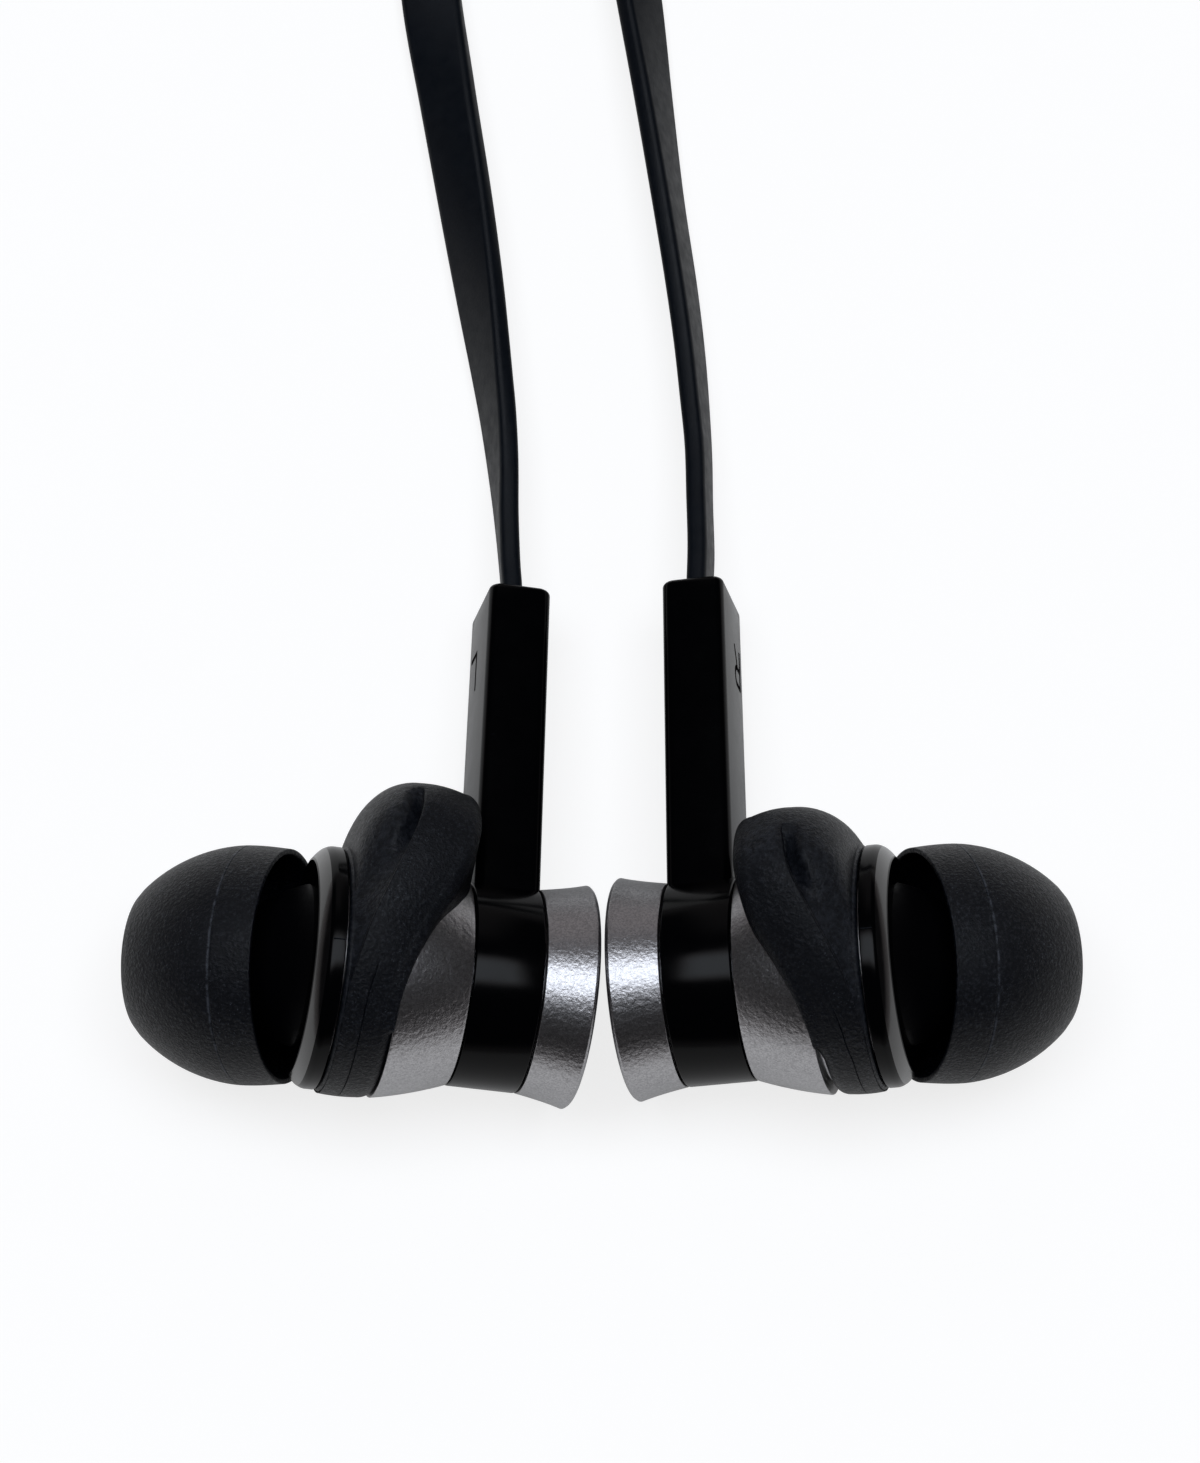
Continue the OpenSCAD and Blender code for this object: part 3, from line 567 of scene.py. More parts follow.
def make_ear_tips():
    """Each tip is one turned skin: dome, nose, sound opening, core and hollow skirt.

    A shallow groove runs round it at the moulding seam, with a band of dust in front of it.
    """
    s = settings()
    nose_at = s.tip_length - 0.45 * MM
    core_r, core_bore = 3.35 * MM, 2.65 * MM
    near_seam = WIDEST_AT + MM * np.array((-0.08, -0.04, -0.02, 0, 0.02, 0.04, 0.07, 0.1, 0.13, 0.18))
    t = np.sort(np.concatenate([np.linspace(0.12 * MM, nose_at, 70), near_seam]))
    outside = np.stack([t, dome(t) - 0.03 * MM * bell(t, WIDEST_AT, 0.03 * MM)], axis=1)
    nose_r = outside[-1, 1]
    sound_at = NOZZLE_END + 0.2 * MM - SKIRT_AT
    core_back = CORE_AT - SKIRT_AT
    front = rounded([outside[-1], (s.tip_length, nose_r - 0.5 * MM), (s.tip_length, 2.05 * MM),
                     (sound_at, 2.05 * MM), (sound_at, core_bore), (core_back, core_bore),
                     (core_back, core_r), (6.2 * MM, core_r), (6.35 * MM, 3.9 * MM),
                     (5.0 * MM, 4.75 * MM), (3.6 * MM, 5.55 * MM), (2.4 * MM, 5.9 * MM),
                     (0.0, s.skirt_diameter / 2 - 0.3 * MM), (0.0, s.skirt_diameter / 2), outside[0]],
                    [0, 0.3 * MM, 0.2 * MM, 0, 0.1 * MM, 0.1 * MM, 0.15 * MM, 0.3 * MM, 0.4 * MM,
                     1 * MM, 1 * MM, 1 * MM, 0.12 * MM, 0.12 * MM, 0])
    profile = np.vstack([outside, front[1:-1]])
    on_seam = bell(profile[:, 0], WIDEST_AT + 0.08 * MM, 0.06 * MM) * (profile[:, 1] > 6 * MM)
    for side in SIDES:
        rings = turned(profile)
        shift, turn, lift = TIP_SEAT[side]
        x, y, z = np.moveaxis(rings, -1, 0)
        x, y = x * math.cos(turn) - y * math.sin(turn), x * math.sin(turn) + y * math.cos(turn)
        x, z = x * math.cos(lift) - z * math.sin(lift), x * math.sin(lift) + z * math.cos(lift)
        rings = np.stack([x + SKIRT_AT + shift, y, z], axis=-1)
        obj = skin(f"{side}_tip_skin", placed(along_nozzle(rings), side), joined=True,
                   dust=on_seam[:, None])
        dressed(obj, f"{side}_tip", "black_silicone", f"{side}_ear_tip")


# ---- Front housings ------------------------------------------------------------------------

SHELL_REAR = 1.95 * MM
SEAT_REAR = 5.85 * MM
# The front housing's places along the axis, radii and lip, in millimetres
SPIGOT_REAR, SPIGOT_R = 8.05, 5.0
FLANGE_REAR, FLANGE_R = 8.86, 6.45
CAVITY_R, ROOT_R = 4.4, 4.33
STEP = 0.06
LIP_START = 9.3
LIP_DEPTH = 0.95
LIP_DROP = 0.72


def make_front_housings():
    """Each housing is a turned body, a nozzle, a polished edge on its lip and a parting line.

    The body's rows run from the spigot over the flange and lip to the step, and back through
    the cavity. The nozzle's rings leave the body's axis for its own along straight lines that
    swell by a sine, run out along the nozzle, and come back through its bore.
    """
    seat = rounded([(-SPIGOT_REAR, CAVITY_R), (-SPIGOT_REAR, SPIGOT_R), (-FLANGE_REAR, SPIGOT_R),
                    (-FLANGE_REAR, FLANGE_R), (-LIP_START, FLANGE_R)],
                   [0, 0.1, 0, 0.06, 0], 8)[:-1]
    front = -LIP_START - LIP_DEPTH
    edge = rounded([lip_curve(1, 1, 1)[0], (front - STEP, 5.62), (front - STEP, 5.2),
                    (front - STEP, 4.3)], [0, 0.08, 0, 0], 5)[1:]
    outer = np.vstack([seat, lip_curve(0, 1, 20), edge]) * MM
    start, end = SHOULDER_AT / MM, NOZZLE_END / MM
    neck = rounded([(start, 3.0), (start, 2.4), (end - 0.7, 2.4), (end - 0.55, 2.6), (end - 0.2, 2.6),
                    (end, 2.35), (end, 2.1), (end - 0.3, 2.1), (end - 0.3, 1.7), (start, 1.7)],
                   [0, 0.15, 0.1, 0.1, 0.1, 0.08, 0.05, 0, 0, 0], 4) * MM
    cavity = np.array([(-9.6, CAVITY_R), (-SPIGOT_REAR, CAVITY_R)]) * MM
    root = np.array([(front + 0.1, ROOT_R), (front - STEP - 0.01, ROOT_R)]) * MM
    u = np.linspace(0, 1, 12)[1:-1, None, None]
    for side in SIDES:
        turned_piece(side, "housing", np.vstack([outer, cavity]), "gloss_black", "front_housing",
                     joined=True)
        nozzle = along_nozzle(mirrored_turn(neck))
        bridge = turned(root)[1] + (nozzle[0] - turned(root)[1]) * u
        middle = bridge.mean(axis=1, keepdims=True)
        bridge = middle + (bridge - middle) * (1 + 0.05 * np.sin(math.pi * u))
        rings = np.concatenate([turned(root), bridge, nozzle, turned(root[:1] - (0, 0.4 * MM))])
        # The nozzle gets a dulled copy of the plastic, which paints the shade under the tip
        obj = skin(f"{side}_nozzle_skin", placed(rings, side), joined=True)
        dressed(obj, f"{side}_earpiece", "gloss_black", f"{side}_front_housing",
                material=material_for("painted_shade"))
        rim = np.vstack([lip_curve(0.45, 1, 14) + lip_way(0.45, 1, 14) * 0.012,
                         lip_curve(1, 0.45, 14) - lip_way(1, 0.45, 14) * 0.06]) * MM
        rim = skin(f"{side}_rim_skin", placed(turned(rim), side), joined=True)
        dressed(rim, f"{side}_earpiece", "gloss_black", material=material_for("polished_rim"))
        dressed(seam_line(side), f"{side}_earpiece", "matt_black",
                material=material_for("cord_jacket"))


def lip_curve(start, end, count):
    """Points of the lip in mm: a parabola whose drop grows with the square of the share along it."""
    t = np.linspace(start, end, count)
    return np.stack([-LIP_START - LIP_DEPTH * t, FLANGE_R - LIP_DROP * t * t], axis=1)


def lip_way(start, end, count):
    """The outward way of each point of the lip."""
    t = np.linspace(start, end, count)
    way = np.stack([-2 * LIP_DROP * t, np.full(count, LIP_DEPTH)], axis=1)
    return way / np.linalg.norm(way, axis=1)[:, None]


def mirrored_turn(profile):
    """Turned rings whose points go round the nozzle as those of the body go round its axis."""
    return turned(profile) * np.array((1, -1, 1))


def seam_line(side):
    """The short parting line across the flange: circles round points on its surface."""
    a = math.radians(92 if side == "right" else 97)
    t = np.linspace(0, 2 * math.pi, 8, endpoint=False)
    rows = []
    for x in np.linspace(-8.95, -9.55, 8):
        c = np.array((x, math.cos(a) * FLANGE_R, math.sin(a) * FLANGE_R)) * MM
        side_way = np.array((0, -math.sin(a), math.cos(a)))
        out = np.array((0, math.cos(a), math.sin(a)))
        rows.append([c + 0.035 * MM * (math.cos(k) * side_way + math.sin(k) * out) for k in t])
    return skin(f"{side}_flange_seam", placed(np.array(rows), side))


# ---- Front shells --------------------------------------------------------------------------

SHELL_R = 6.55 * MM


def flank(a):
    """Radius of the shell behind the sleeve: a straight cone with a parabolic swell."""
    t = np.clip((np.asarray(a, float) + SEAT_REAR) / (SEAT_REAR - SHELL_REAR), 0, 1)
    return SHELL_R + (settings().ring_diameter / 2 - SHELL_R) * t + 0.4 * MM * t * (1 - t)


def make_front_shells():
    """Each shell is a turned skin with its seat, a fine groove, its flank, spigot and bore."""
    a = np.linspace(-SEAT_REAR, -SHELL_REAR, 26)[1:-1]
    side_line = np.stack([a, flank(a)], axis=1)
    head = np.array([(-8.8, 5.06), (-8.8, 5.84), (-5.97, 5.84), (-5.97, 5.5), (-5.85, 5.5),
                     (-5.85, 6.55)]) * MM
    tail = np.array([(-1.95, 5.45), (-1.95, 4.65), (-1.0, 4.65), (-1.0, 4.05), (-3.75, 4.05),
                     (-4.95, 4.26), (-4.95, 5.06)]) * MM
    radii = [0, 0.05 * MM, 0, 0, 0, 0.06 * MM] + [0] * len(side_line) + [0.05 * MM] + [0] * 6
    profile = rounded(np.vstack([head, side_line, tail]), radii, 4)
    for side in SIDES:
        turned_piece(side, "shell", profile, "silver_shell", "front_shell", joined=True)


# ---- Wing sleeves --------------------------------------------------------------------------

FIN_ANGLE = {"left": 37.5, "right": 56.0}
FIN_HEIGHT = {"left": 1.04, "right": 0.84}
# Angle from the fin's centre, with the crease's and rear edge's place along the axis and the
# ridge's height above the band, in millimetres
REAR_EDGE = ((0, -2.12), (12, -2.15), (19.5, -2.41), (31.5, -3.05), (38.5, -3.63), (46.5, -4.18),
             (53.5, -4.57), (59.5, -4.87), (64.5, -5.14), (71.5, -5.38), (78.5, -5.59), (85.5, -5.73),
             (100, -5.80), (122, -5.84), (180, -5.84))
CREASE = ((0, -5.3), (10, -5.4), (18.5, -5.77), (32.5, -6.76), (43.5, -7.41), (53.5, -7.88),
          (62.5, -8.12), (73.5, -8.37), (81.5, -8.48), (95, -8.55), (180, -8.6))
RIDGE = ((0, 3.8), (10, 3.62), (20, 2.9), (30, 2.0), (40, 1.3), (50, 0.8), (60, 0.45), (70, 0.22),
         (80, 0.08), (92, 0.0), (180, 0.0))
# The band's front and rear and its gap to the shell, in millimetres
FRONT_EDGE_R = 6.51
REAR_LIMIT = -5.8
SEAT_GAP = 0.02
# Points of a section on its front edge, ramp, wall, small rim and belt
EDGE_STEPS, RAMP_STEPS, WALL_STEPS, RIM_STEPS, BELT_STEPS = 7, 42, 4, 5, 14
BELT_START = EDGE_STEPS + RAMP_STEPS + WALL_STEPS + RIM_STEPS
# Steps of the ramp next to the crease that get no painted sheen
UNPAINTED_RAMP_STEPS = 5


def table_value(table, angle):
    """A smooth reading of a table of angle and value, for both signs of the angle."""
    points = np.array(table, float)
    x = np.abs(((np.asarray(angle, float) + 180) % 360) - 180)
    base = np.interp(x, points[:, 0], points[:, 1])
    ahead = np.interp(np.minimum(x + 4, 180), points[:, 0], points[:, 1])
    behind = np.interp(np.abs(x - 4), points[:, 0], points[:, 1])
    return (2 * base + ahead + behind) / 4


def sleeve_sections(angle, side):
    """Sections of the sleeve's rubber, one for each angle from the fin's centre, as a and r.

    From the front edge a ramp climbs to the crease, full at the fin's centre and hollow beside
    it. Next to the crease a pocket is sunk into one side of it, deepest under the belt's wall.
    The belt starts with a small round edge a step above the ramp, is slightly crowned, has a
    fine parting groove where it is narrow, and ends in a wide round edge and a wall that comes
    down to the shell.
    """
    angle = np.asarray(angle, float)
    x = np.abs((angle + 180) % 360 - 180)[:, None]
    rear = table_value(REAR_EDGE, x)
    crease = table_value(CREASE, x)
    height = table_value(RIDGE, x) * FIN_HEIGHT[side]
    upper = (angle % 360 < 180)[:, None]
    if side == "right":
        rear = rear - 0.33 * smoothstep(88, 104, x) * upper
        rear = rear - 0.45 * (1 - smoothstep(12, 45, x))
    top = SLEEVE_R / MM + height
    step = 0.2 * smoothstep(14, 30, x) * (1 - smoothstep(50, 80, x))
    pocket = 0.95 * (smoothstep(1, 8, angle) * (1 - smoothstep(17, 29, angle)))[:, None]

    turn = np.linspace(180, 105, EDGE_STEPS)
    edge_a = -8.5 + 0.25 * np.cos(np.radians(turn))[None] + 0 * x
    edge_r = 6.27 + 0.25 * np.sin(np.radians(turn))[None] + 0 * x

    u = 1 - (1 - np.linspace(0, 1, RAMP_STEPS)[None]) ** 1.5
    ramp_a = -8.56 + (crease + 8.56) * u
    full, hollow = (1 - (1 - u) ** 2) ** 0.5, u ** 1.25
    lift = full + (hollow - full) * np.where(upper, smoothstep(8, 42, x), smoothstep(25, 60, x))
    ramp_r = FRONT_EDGE_R + (top - step - FRONT_EDGE_R) * lift
    near = np.clip(1 - (crease - ramp_a) / 1.1, 0, 1)
    ramp_r = ramp_r - pocket * near ** 2 * (3 - 2 * near)

    foot = ramp_r[:, -1:]
    small = np.minimum(0.16, 0.8 * (top - foot))
    v = np.linspace(0, 1, WALL_STEPS + 1)[None, 1:]
    wall_r = foot + (top - small - foot) * v
    wall_a = crease + 0 * wall_r
    turn = np.radians(np.linspace(180, 90, RIM_STEPS + 1)[1:])[None]
    rim_a, rim_r = crease + small * (1 + np.cos(turn)), top - small * (1 - np.sin(turn))

    fall = np.minimum(0.3, 0.4 * height)
    base = np.where(rear > REAR_LIMIT, flank(rear * MM) / MM + SEAT_GAP, 5.93)
    wide = np.minimum(0.75, 0.3 * (rear - crease))
    deep = np.minimum(0.85, 0.75 * (top - fall - base))
    groove_at = 0.5
    v = np.sort(np.concatenate([np.linspace(0, 1, BELT_STEPS - 2)[1:],
                                groove_at + np.array((-0.02, 0, 0.02))]))
    belt_start = crease + small
    belt_a = belt_start + (rear - wide - belt_start) * v[None]
    belt_r = top - fall * v[None] ** 2 + 0.05 * 4 * v[None] * (1 - v[None])
    belt_r = belt_r - 0.05 * smoothstep(62, 74, x) * (np.abs(v[None] - groove_at) < 0.01)
    end_r = belt_r[:, -1:]
    turn = np.radians(np.linspace(90, 0, 10)[1:])[None]
    back_a = rear - wide + wide * np.cos(turn)
    back_r = end_r - deep + deep * np.sin(turn)
    v = np.linspace(0, 1, 4)[None, 1:]
    drop_r = end_r - deep + (base - end_r + deep) * v
    drop_a = rear + 0 * drop_r
    under_a = rear + (np.minimum(rear, REAR_LIMIT) - rear) * np.linspace(0, 1, 8)[None, 1:]
    under_r = np.where(rear > REAR_LIMIT, flank(under_a * MM) / MM + SEAT_GAP, 5.93)
    seat_a = np.array((-6.2, -7.4, -8.75))[None] + 0 * x
    seat_r = 5.92 + 0 * seat_a
    a = np.hstack([edge_a, ramp_a, wall_a, rim_a, belt_a, back_a, drop_a, under_a, seat_a])
    r = np.hstack([edge_r, ramp_r, wall_r, rim_r, belt_r, back_r, drop_r, under_r, seat_r])
    return a * MM, r * MM


def make_wing_sleeves():
    """Each sleeve is a skin of sections swept round the body, with a painted sheen on its hollow ramp.

    The right one also has a painted highlight on the belt at its fin.
    """
    angles = np.concatenate([np.linspace(-100, 100, 260), np.linspace(100, 260, 70)[1:-1]])
    for side in SIDES:
        a, r = sleeve_sections(angles, side)
        turn = np.radians(angles + FIN_ANGLE[side])[:, None]
        rings = np.stack([a, r * np.cos(turn), r * np.sin(turn)], axis=2)
        dust = np.zeros(a.shape)
        # Painted sheen: the ramp is coloured lighter, standing in for the light it reflects; its last
        # steps by the crease are left out
        dust[:, :EDGE_STEPS + RAMP_STEPS - UNPAINTED_RAMP_STEPS] = 0.2
        if side == "right":
            # Painted highlight on the top of the right belt at its fin
            at_fin = 1 - smoothstep(8, 20, np.abs(angles))
            dust[:, BELT_START:BELT_START + BELT_STEPS] = 0.3 * at_fin[:, None]
        obj = skin(f"{side}_sleeve_skin", placed(rings, side), joined=True, sharp=50, dust=dust)
        dressed(obj, f"{side}_wing", "black_silicone", f"{side}_wing_sleeve")


# ---- Stem housings -------------------------------------------------------------------------

def rectangle(width, depth, radius, steps=6):
    """A rectangle with round corners, as points round it."""
    w, d = width / 2 - radius, depth / 2 - radius
    out = []
    for cx, cy, start in ((w, d, 0), (-w, d, 90), (-w, -d, 180), (w, -d, 270)):
        for i in range(steps + 1):
            a = math.radians(start + 90 * i / steps)
            out.append((cx + radius * math.cos(a), cy + radius * math.sin(a)))
    return np.array(out)


def make_stem_housings():
    """The ring is turned, and the stem is a rounded rectangle swept along it.

    The stem's sections shrink by a quarter circle at its end, and the last ones go back in to
    seat the cord's gland. Its inner side leans out towards the ring by a straight taper.
    """
    s = settings()
    half, r = s.ring_width / 2, s.ring_diameter / 2
    ring = rounded([(-half, 4.7 * MM), (-half, r), (half, r), (half, 4.7 * MM)],
                   [0, 0.1 * MM, 0.1 * MM, 0], 4)
    edge = 0.35 * MM
    rows = []
    length = s.stem_length + 0.28 * MM
    for y in np.linspace(4.2 * MM, length - edge, 24):
        rows.append((y, s.stem_width, s.stem_depth, 0.6 * MM))
    for a in np.linspace(0, 90, 7)[1:]:
        cut = edge * (1 - math.cos(math.radians(a)))
        rows.append((length - edge + edge * math.sin(math.radians(a)),
                     s.stem_width - 2 * cut, s.stem_depth - 2 * cut, 0.6 * MM - cut * 0.5))
    hole_w, hole_d = s.cord_thickness + 0.7 * MM, s.cord_width + 0.7 * MM
    rows.append((length, hole_w, hole_d, 0.1 * MM))
    rows.append((length - 0.6 * MM, hole_w, hole_d, 0.1 * MM))
    for side in SIDES:
        turned_piece(side, "ring", ring, "gloss_black", "stem_housing", joined=True)
        rings = []
        for y, w, d, radius in rows:
            p = rectangle(w, d, radius)
            inward = (0.41 - 0.29 * y / length) * MM * (p[:, 0] > 0) * (w > hole_w)
            rings.append(np.stack([p[:, 0] + inward, np.full(len(p), y), p[:, 1]], axis=1))
        stem = skin(f"{side}_stem_skin", placed(np.array(rings), side), sharp=50)
        dressed(stem, f"{side}_earpiece", "gloss_black", f"{side}_stem_housing")
        dressed(side_mark(side), f"{side}_earpiece", "matt_black",
                material=material_for("mark_paint"))


def side_mark(side):
    """The plain side mark, bars and an arc drawn as thin strokes on the stem's outer face."""
    h, w, wide = 2.1, 0.26, 1.3
    if side == "left":
        strokes = [[(0, 0), (0, h)], [(0, 0), (wide, 0)]]
        start_at = -0.5
    else:
        t = np.linspace(0, math.pi, 11)
        arc = [(wide - 0.5 + 0.5 * math.sin(k), h - 0.5 + 0.5 * math.cos(k)) for k in t]
        strokes = [[(0, 0), (0, h)], [(0, h)] + arc + [(0, h - 1)], [(0.65, h - 1), (wide, 0)]]
        start_at = -1.75
    p = np.array([a for stroke in strokes for a in stroke[:-1]])
    q = np.array([a for stroke in strokes for a in stroke[1:]])
    d = (q - p) / np.linalg.norm(q - p, axis=1)[:, None]
    across = np.stack([-d[:, 1], d[:, 0]], axis=1) * w / 2
    along = d * w / 2
    corners = np.stack([p - across - along, q - across + along, q + across + along,
                        p + across - along], axis=1).reshape(-1, 2)
    way = -1 if side == "left" else 1
    face = np.full(len(corners), -settings().stem_width / 2 - 0.006 * MM)
    end = settings().stem_length - 2.65 * MM
    points = np.stack([face, end - corners[:, 1] * MM, (start_at + way * corners[:, 0]) * MM],
                      axis=1)
    mesh = bpy.data.meshes.new(f"{side}_mark")
    mesh.from_pydata(placed(points, side).tolist(), [],
                     np.arange(len(corners)).reshape(-1, 4).tolist())
    obj = bpy.data.objects.new(f"{side}_mark", mesh)
    bpy.context.scene.collection.objects.link(obj)
    return obj


# ---- Back caps -----------------------------------------------------------------------------

def make_back_caps():
    """Each cap is turned: a hollow flare from the ring to the rim, then a sunk face."""
    s = settings()
    start, end = s.ring_width / 2 + 0.1 * MM, s.ring_width / 2 + s.cap_length
    r0, r1 = s.ring_diameter / 2, s.cap_diameter / 2
    t = np.linspace(0, 1, 24)
    reach = end - 0.22 * MM - start
    flare = [(start + reach * u, r0 + (r1 - r0) * (0.8 * u + 0.2 * u * u * u)) for u in t]
    line = ([(start - 0.95 * MM, 0.0), (start - 0.95 * MM, 4.65 * MM), (start, 4.65 * MM)]
            + flare + [(end, r1 - 0.18 * MM), (end, r1 - 0.75 * MM), (end - 0.1 * MM, r1 - 0.85 * MM),
                       (end - 0.14 * MM, 0.0)])
    radii = [0, 0.1 * MM, 0, 0.08 * MM] + [0] * (len(flare) - 2) + [0.25 * MM, 0.3 * MM, 0.1 * MM,
                                                                   0.1 * MM, 0]
    profile = rounded(line, radii, 5)
    for side in SIDES:
        turned_piece(side, "cap", profile, "silver_shell", "back_cap", ends=False)


# ---- Cords ---------------------------------------------------------------------------------

# Points of the cords' routes in millimetres, and the angle by which the flat cord leans there
LEFT_ROUTE = (
    (-5, 13.2, 3.1, 88), (-5, 14.5, 2.85, 88), (-5.1, 16, 2.6, 88), (-5.3, 19, 2.25, 84),
    (-5.5, 22, 2, 76), (-5.8, 25, 1.85, 69), (-6.1, 27.2, 1.8, 64), (-6.85, 32.3, 1.7, 50),
    (-7.8, 38.3, 1.55, 37), (-8.8, 44.3, 1.35, 29), (-9.75, 50.3, 1, 12), (-10.2, 56, 0.7, 2),
    (-10.35, 62, 0.9, 10), (-10.2, 68, 1.5, 35), (-9.8, 74, 1.9, 60), (-9.2, 80, 2.15, 80),
    (-8.6, 86, 2.2, 90), (-8.2, 91, 2.2, 90),
)
RIGHT_ROUTE = (
    (5.3, 14.5, 3.55, 99), (5.4, 17, 3.1, 100), (5.35, 20, 2.6, 100), (5.3, 23, 2.2, 101),
    (5.1, 26, 1.95, 104), (4.85, 29, 1.8, 106), (4.4, 32.8, 1.75, 108), (3.6, 38.3, 1.75, 110),
    (2.8, 44.3, 1.7, 118), (2, 50.3, 1.55, 130), (1.1, 56, 1.5, 132), (-0.4, 62, 1.6, 125),
    (-2.6, 68, 1.8, 115), (-4.7, 74, 2, 105), (-6, 80, 2.1, 95), (-6.6, 86, 2.2, 90),
    (-6.8, 91, 2.2, 90),
)
MAIN_ROUTE = (
    (14, 118.3, 5.7, 90), (17, 118.2, 5.6, 90), (20, 117.9, 5.4, 90), (23.2, 117.3, 5.1, 90),
    (26.4, 116.2, 4.7, 90), (29.4, 114.8, 4.3, 90), (32.2, 112.9, 3.9, 90), (34.8, 110.7, 3.5, 90),
    (37.1, 108.1, 3.2, 90), (39.1, 105.2, 3, 90), (40.8, 102, 2.9, 90), (42, 98.8, 2.9, 90),
    (42.7, 95.4, 2.95, 90), (43, 92, 3, 90), (43, 90, 3, 90),
)
COIL_AT = np.array((0.014, 0.094))
LOWER_Z = 0.0022
UPPER_Z = 0.0057
TURN_PITCH = 0.0013
# Radius and angle of the splitter's centre round the coil
SPLITTER_AT = (13.4 * MM, math.radians(62.0))


def free_path(route, count):
    """The smooth line through a route's points."""
    return smooth_line(np.array(route) * (MM, MM, MM, 1), count)


def on_coil(radius, angle, z):
    """Points at a radius and an angle in degrees round the coil, standing on edge."""
    a = np.radians(angle)
    return np.stack([COIL_AT[0] + radius * np.cos(a), COIL_AT[1] + radius * np.sin(a),
                     np.broadcast_to(z, a.shape), np.full(a.shape, 90.0)], axis=1)


def in_splitter(across, along):
    """Cord points inside or beside the splitter, from places in mm along its own two axes."""
    radius = np.hypot(SPLITTER_AT[0] + across * MM, np.asarray(along) * MM)
    angle = SPLITTER_AT[1] + np.arctan2(np.asarray(along) * MM, SPLITTER_AT[0] + across * MM)
    return on_coil(radius, np.degrees(angle), LOWER_Z)


def branch_path(route, start_radius, across):
    """A branch: its free route, a spiral inwards that loses two pitches in each turn, the splitter.

    Its last part comes in by another 1.15 mm to reach the splitter's end.
    """
    angle = np.arange(180, -631, -5.0)
    radius = start_radius - 2 * TURN_PITCH * (180 - angle) / 360
    radius = radius - 1.15 * MM * smoothstep(570, 635, -angle)
    free = free_path(route, 260)
    return smooth_line(np.vstack([free[::3], on_coil(radius, angle, LOWER_Z),
                                  in_splitter(across, (5.4, 5.0, 4.6, 4.2))]), 900)


def main_path():
    """The main cord: up from the splitter, a spiral outwards, and its free route to the plug."""
    turns, climb_angle, splitter_r = 6.53, 116, 14.5 * MM
    last, first_r = 90.0, 24.3 * MM - turns * TURN_PITCH
    start = last + 360 * turns
    spiral = np.arange(start, last, -5.0)
    radius = first_r + TURN_PITCH * (start - spiral) / 360
    climb = np.arange(start + climb_angle, start, -5.0)
    u = (start + climb_angle - climb) / climb_angle
    r = splitter_r + (first_r - splitter_r) * smoothstep(0.45, 1.0, u)
    z = LOWER_Z + (UPPER_Z - LOWER_Z) * smoothstep(0.0, 0.7, u)
    free = free_path(MAIN_ROUTE, 120)
    points = np.vstack([in_splitter(0.0, (-4.2, -4.6, -5.0, -5.4)), on_coil(r, climb, z),
                        on_coil(radius, spiral, UPPER_Z), free[::3]])
    return smooth_line(points, 2200)


def flat_section():
    """The flat cord's section: a rectangle whose narrow edges are nearly half round."""
    s = settings()
    return rectangle(s.cord_width, s.cord_thickness, 0.38 * MM, 4)


def swept_cord(name, path):
    """The section carried along a path.

    Across the cord is level and at right angles to its heading h. Its width leans from that by
    the path's angle, and its thickness is the cross product of h and the width.
    """
    p, lean = path[:, :3], np.radians(path[:, 3])[:, None]
    heading = np.gradient(p, axis=0)
    heading /= np.linalg.norm(heading, axis=1)[:, None]
    across = np.cross(heading, (0, 0, 1))
    across /= np.linalg.norm(across, axis=1)[:, None]
    up = np.cross(across, heading)
    wide = np.cos(lean) * across + np.sin(lean) * up
    thin = np.cross(heading, wide)
    section = flat_section()
    rings = (p[:, None] + section[None, :, :1] * wide[:, None] + section[None, :, 1:] * thin[:, None])
    return skin(name, rings, sharp=60)


def make_cords():
    """Both branches and the main cord, each of its whole length, with their plug and splitter."""
    left, right, main = (branch_path(LEFT_ROUTE, 22.1 * MM, 0.6),
                         branch_path(RIGHT_ROUTE, 20.8 * MM, -0.65), main_path())
    for name, path, nodes in (("left_branch", left, ("cord_left", "branch_coil")),
                              ("right_branch", right, ("cord_right",)),
                              ("main_cord", main, ("cord_main", "main_coil"))):
        blended = name == "right_branch"
        obj = dressed(swept_cord(name, path), None if blended else "left_earpiece", "cord_jacket",
                      *nodes)
        if blended:
            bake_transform(obj)
    plug, splitter = make_plug(), [make_splitter()]


# ---- Plug, splitter and tie ----------------------------------------------------------------

PLUG_AT = np.array((0.043, 0.092, 0.003))
# Points round the turned contacts and relief, and round the fluted grip
CONTACT_SEGMENTS, GRIP_SEGMENTS = 96, 240
FLUTES = 24
TIE_ANGLE = math.radians(-100.0)


def on_plug(rings):
    """Rings drawn along +X put on the plug's axis, which runs along -Y."""
    rings = np.asarray(rings, float)
    return np.stack([rings[..., 1], -rings[..., 0], rings[..., 2]], axis=-1) + PLUG_AT


def contact(profile):
    """A turned part of the plug, from a profile in millimetres."""
    return turned(profile * MM, CONTACT_SEGMENTS)


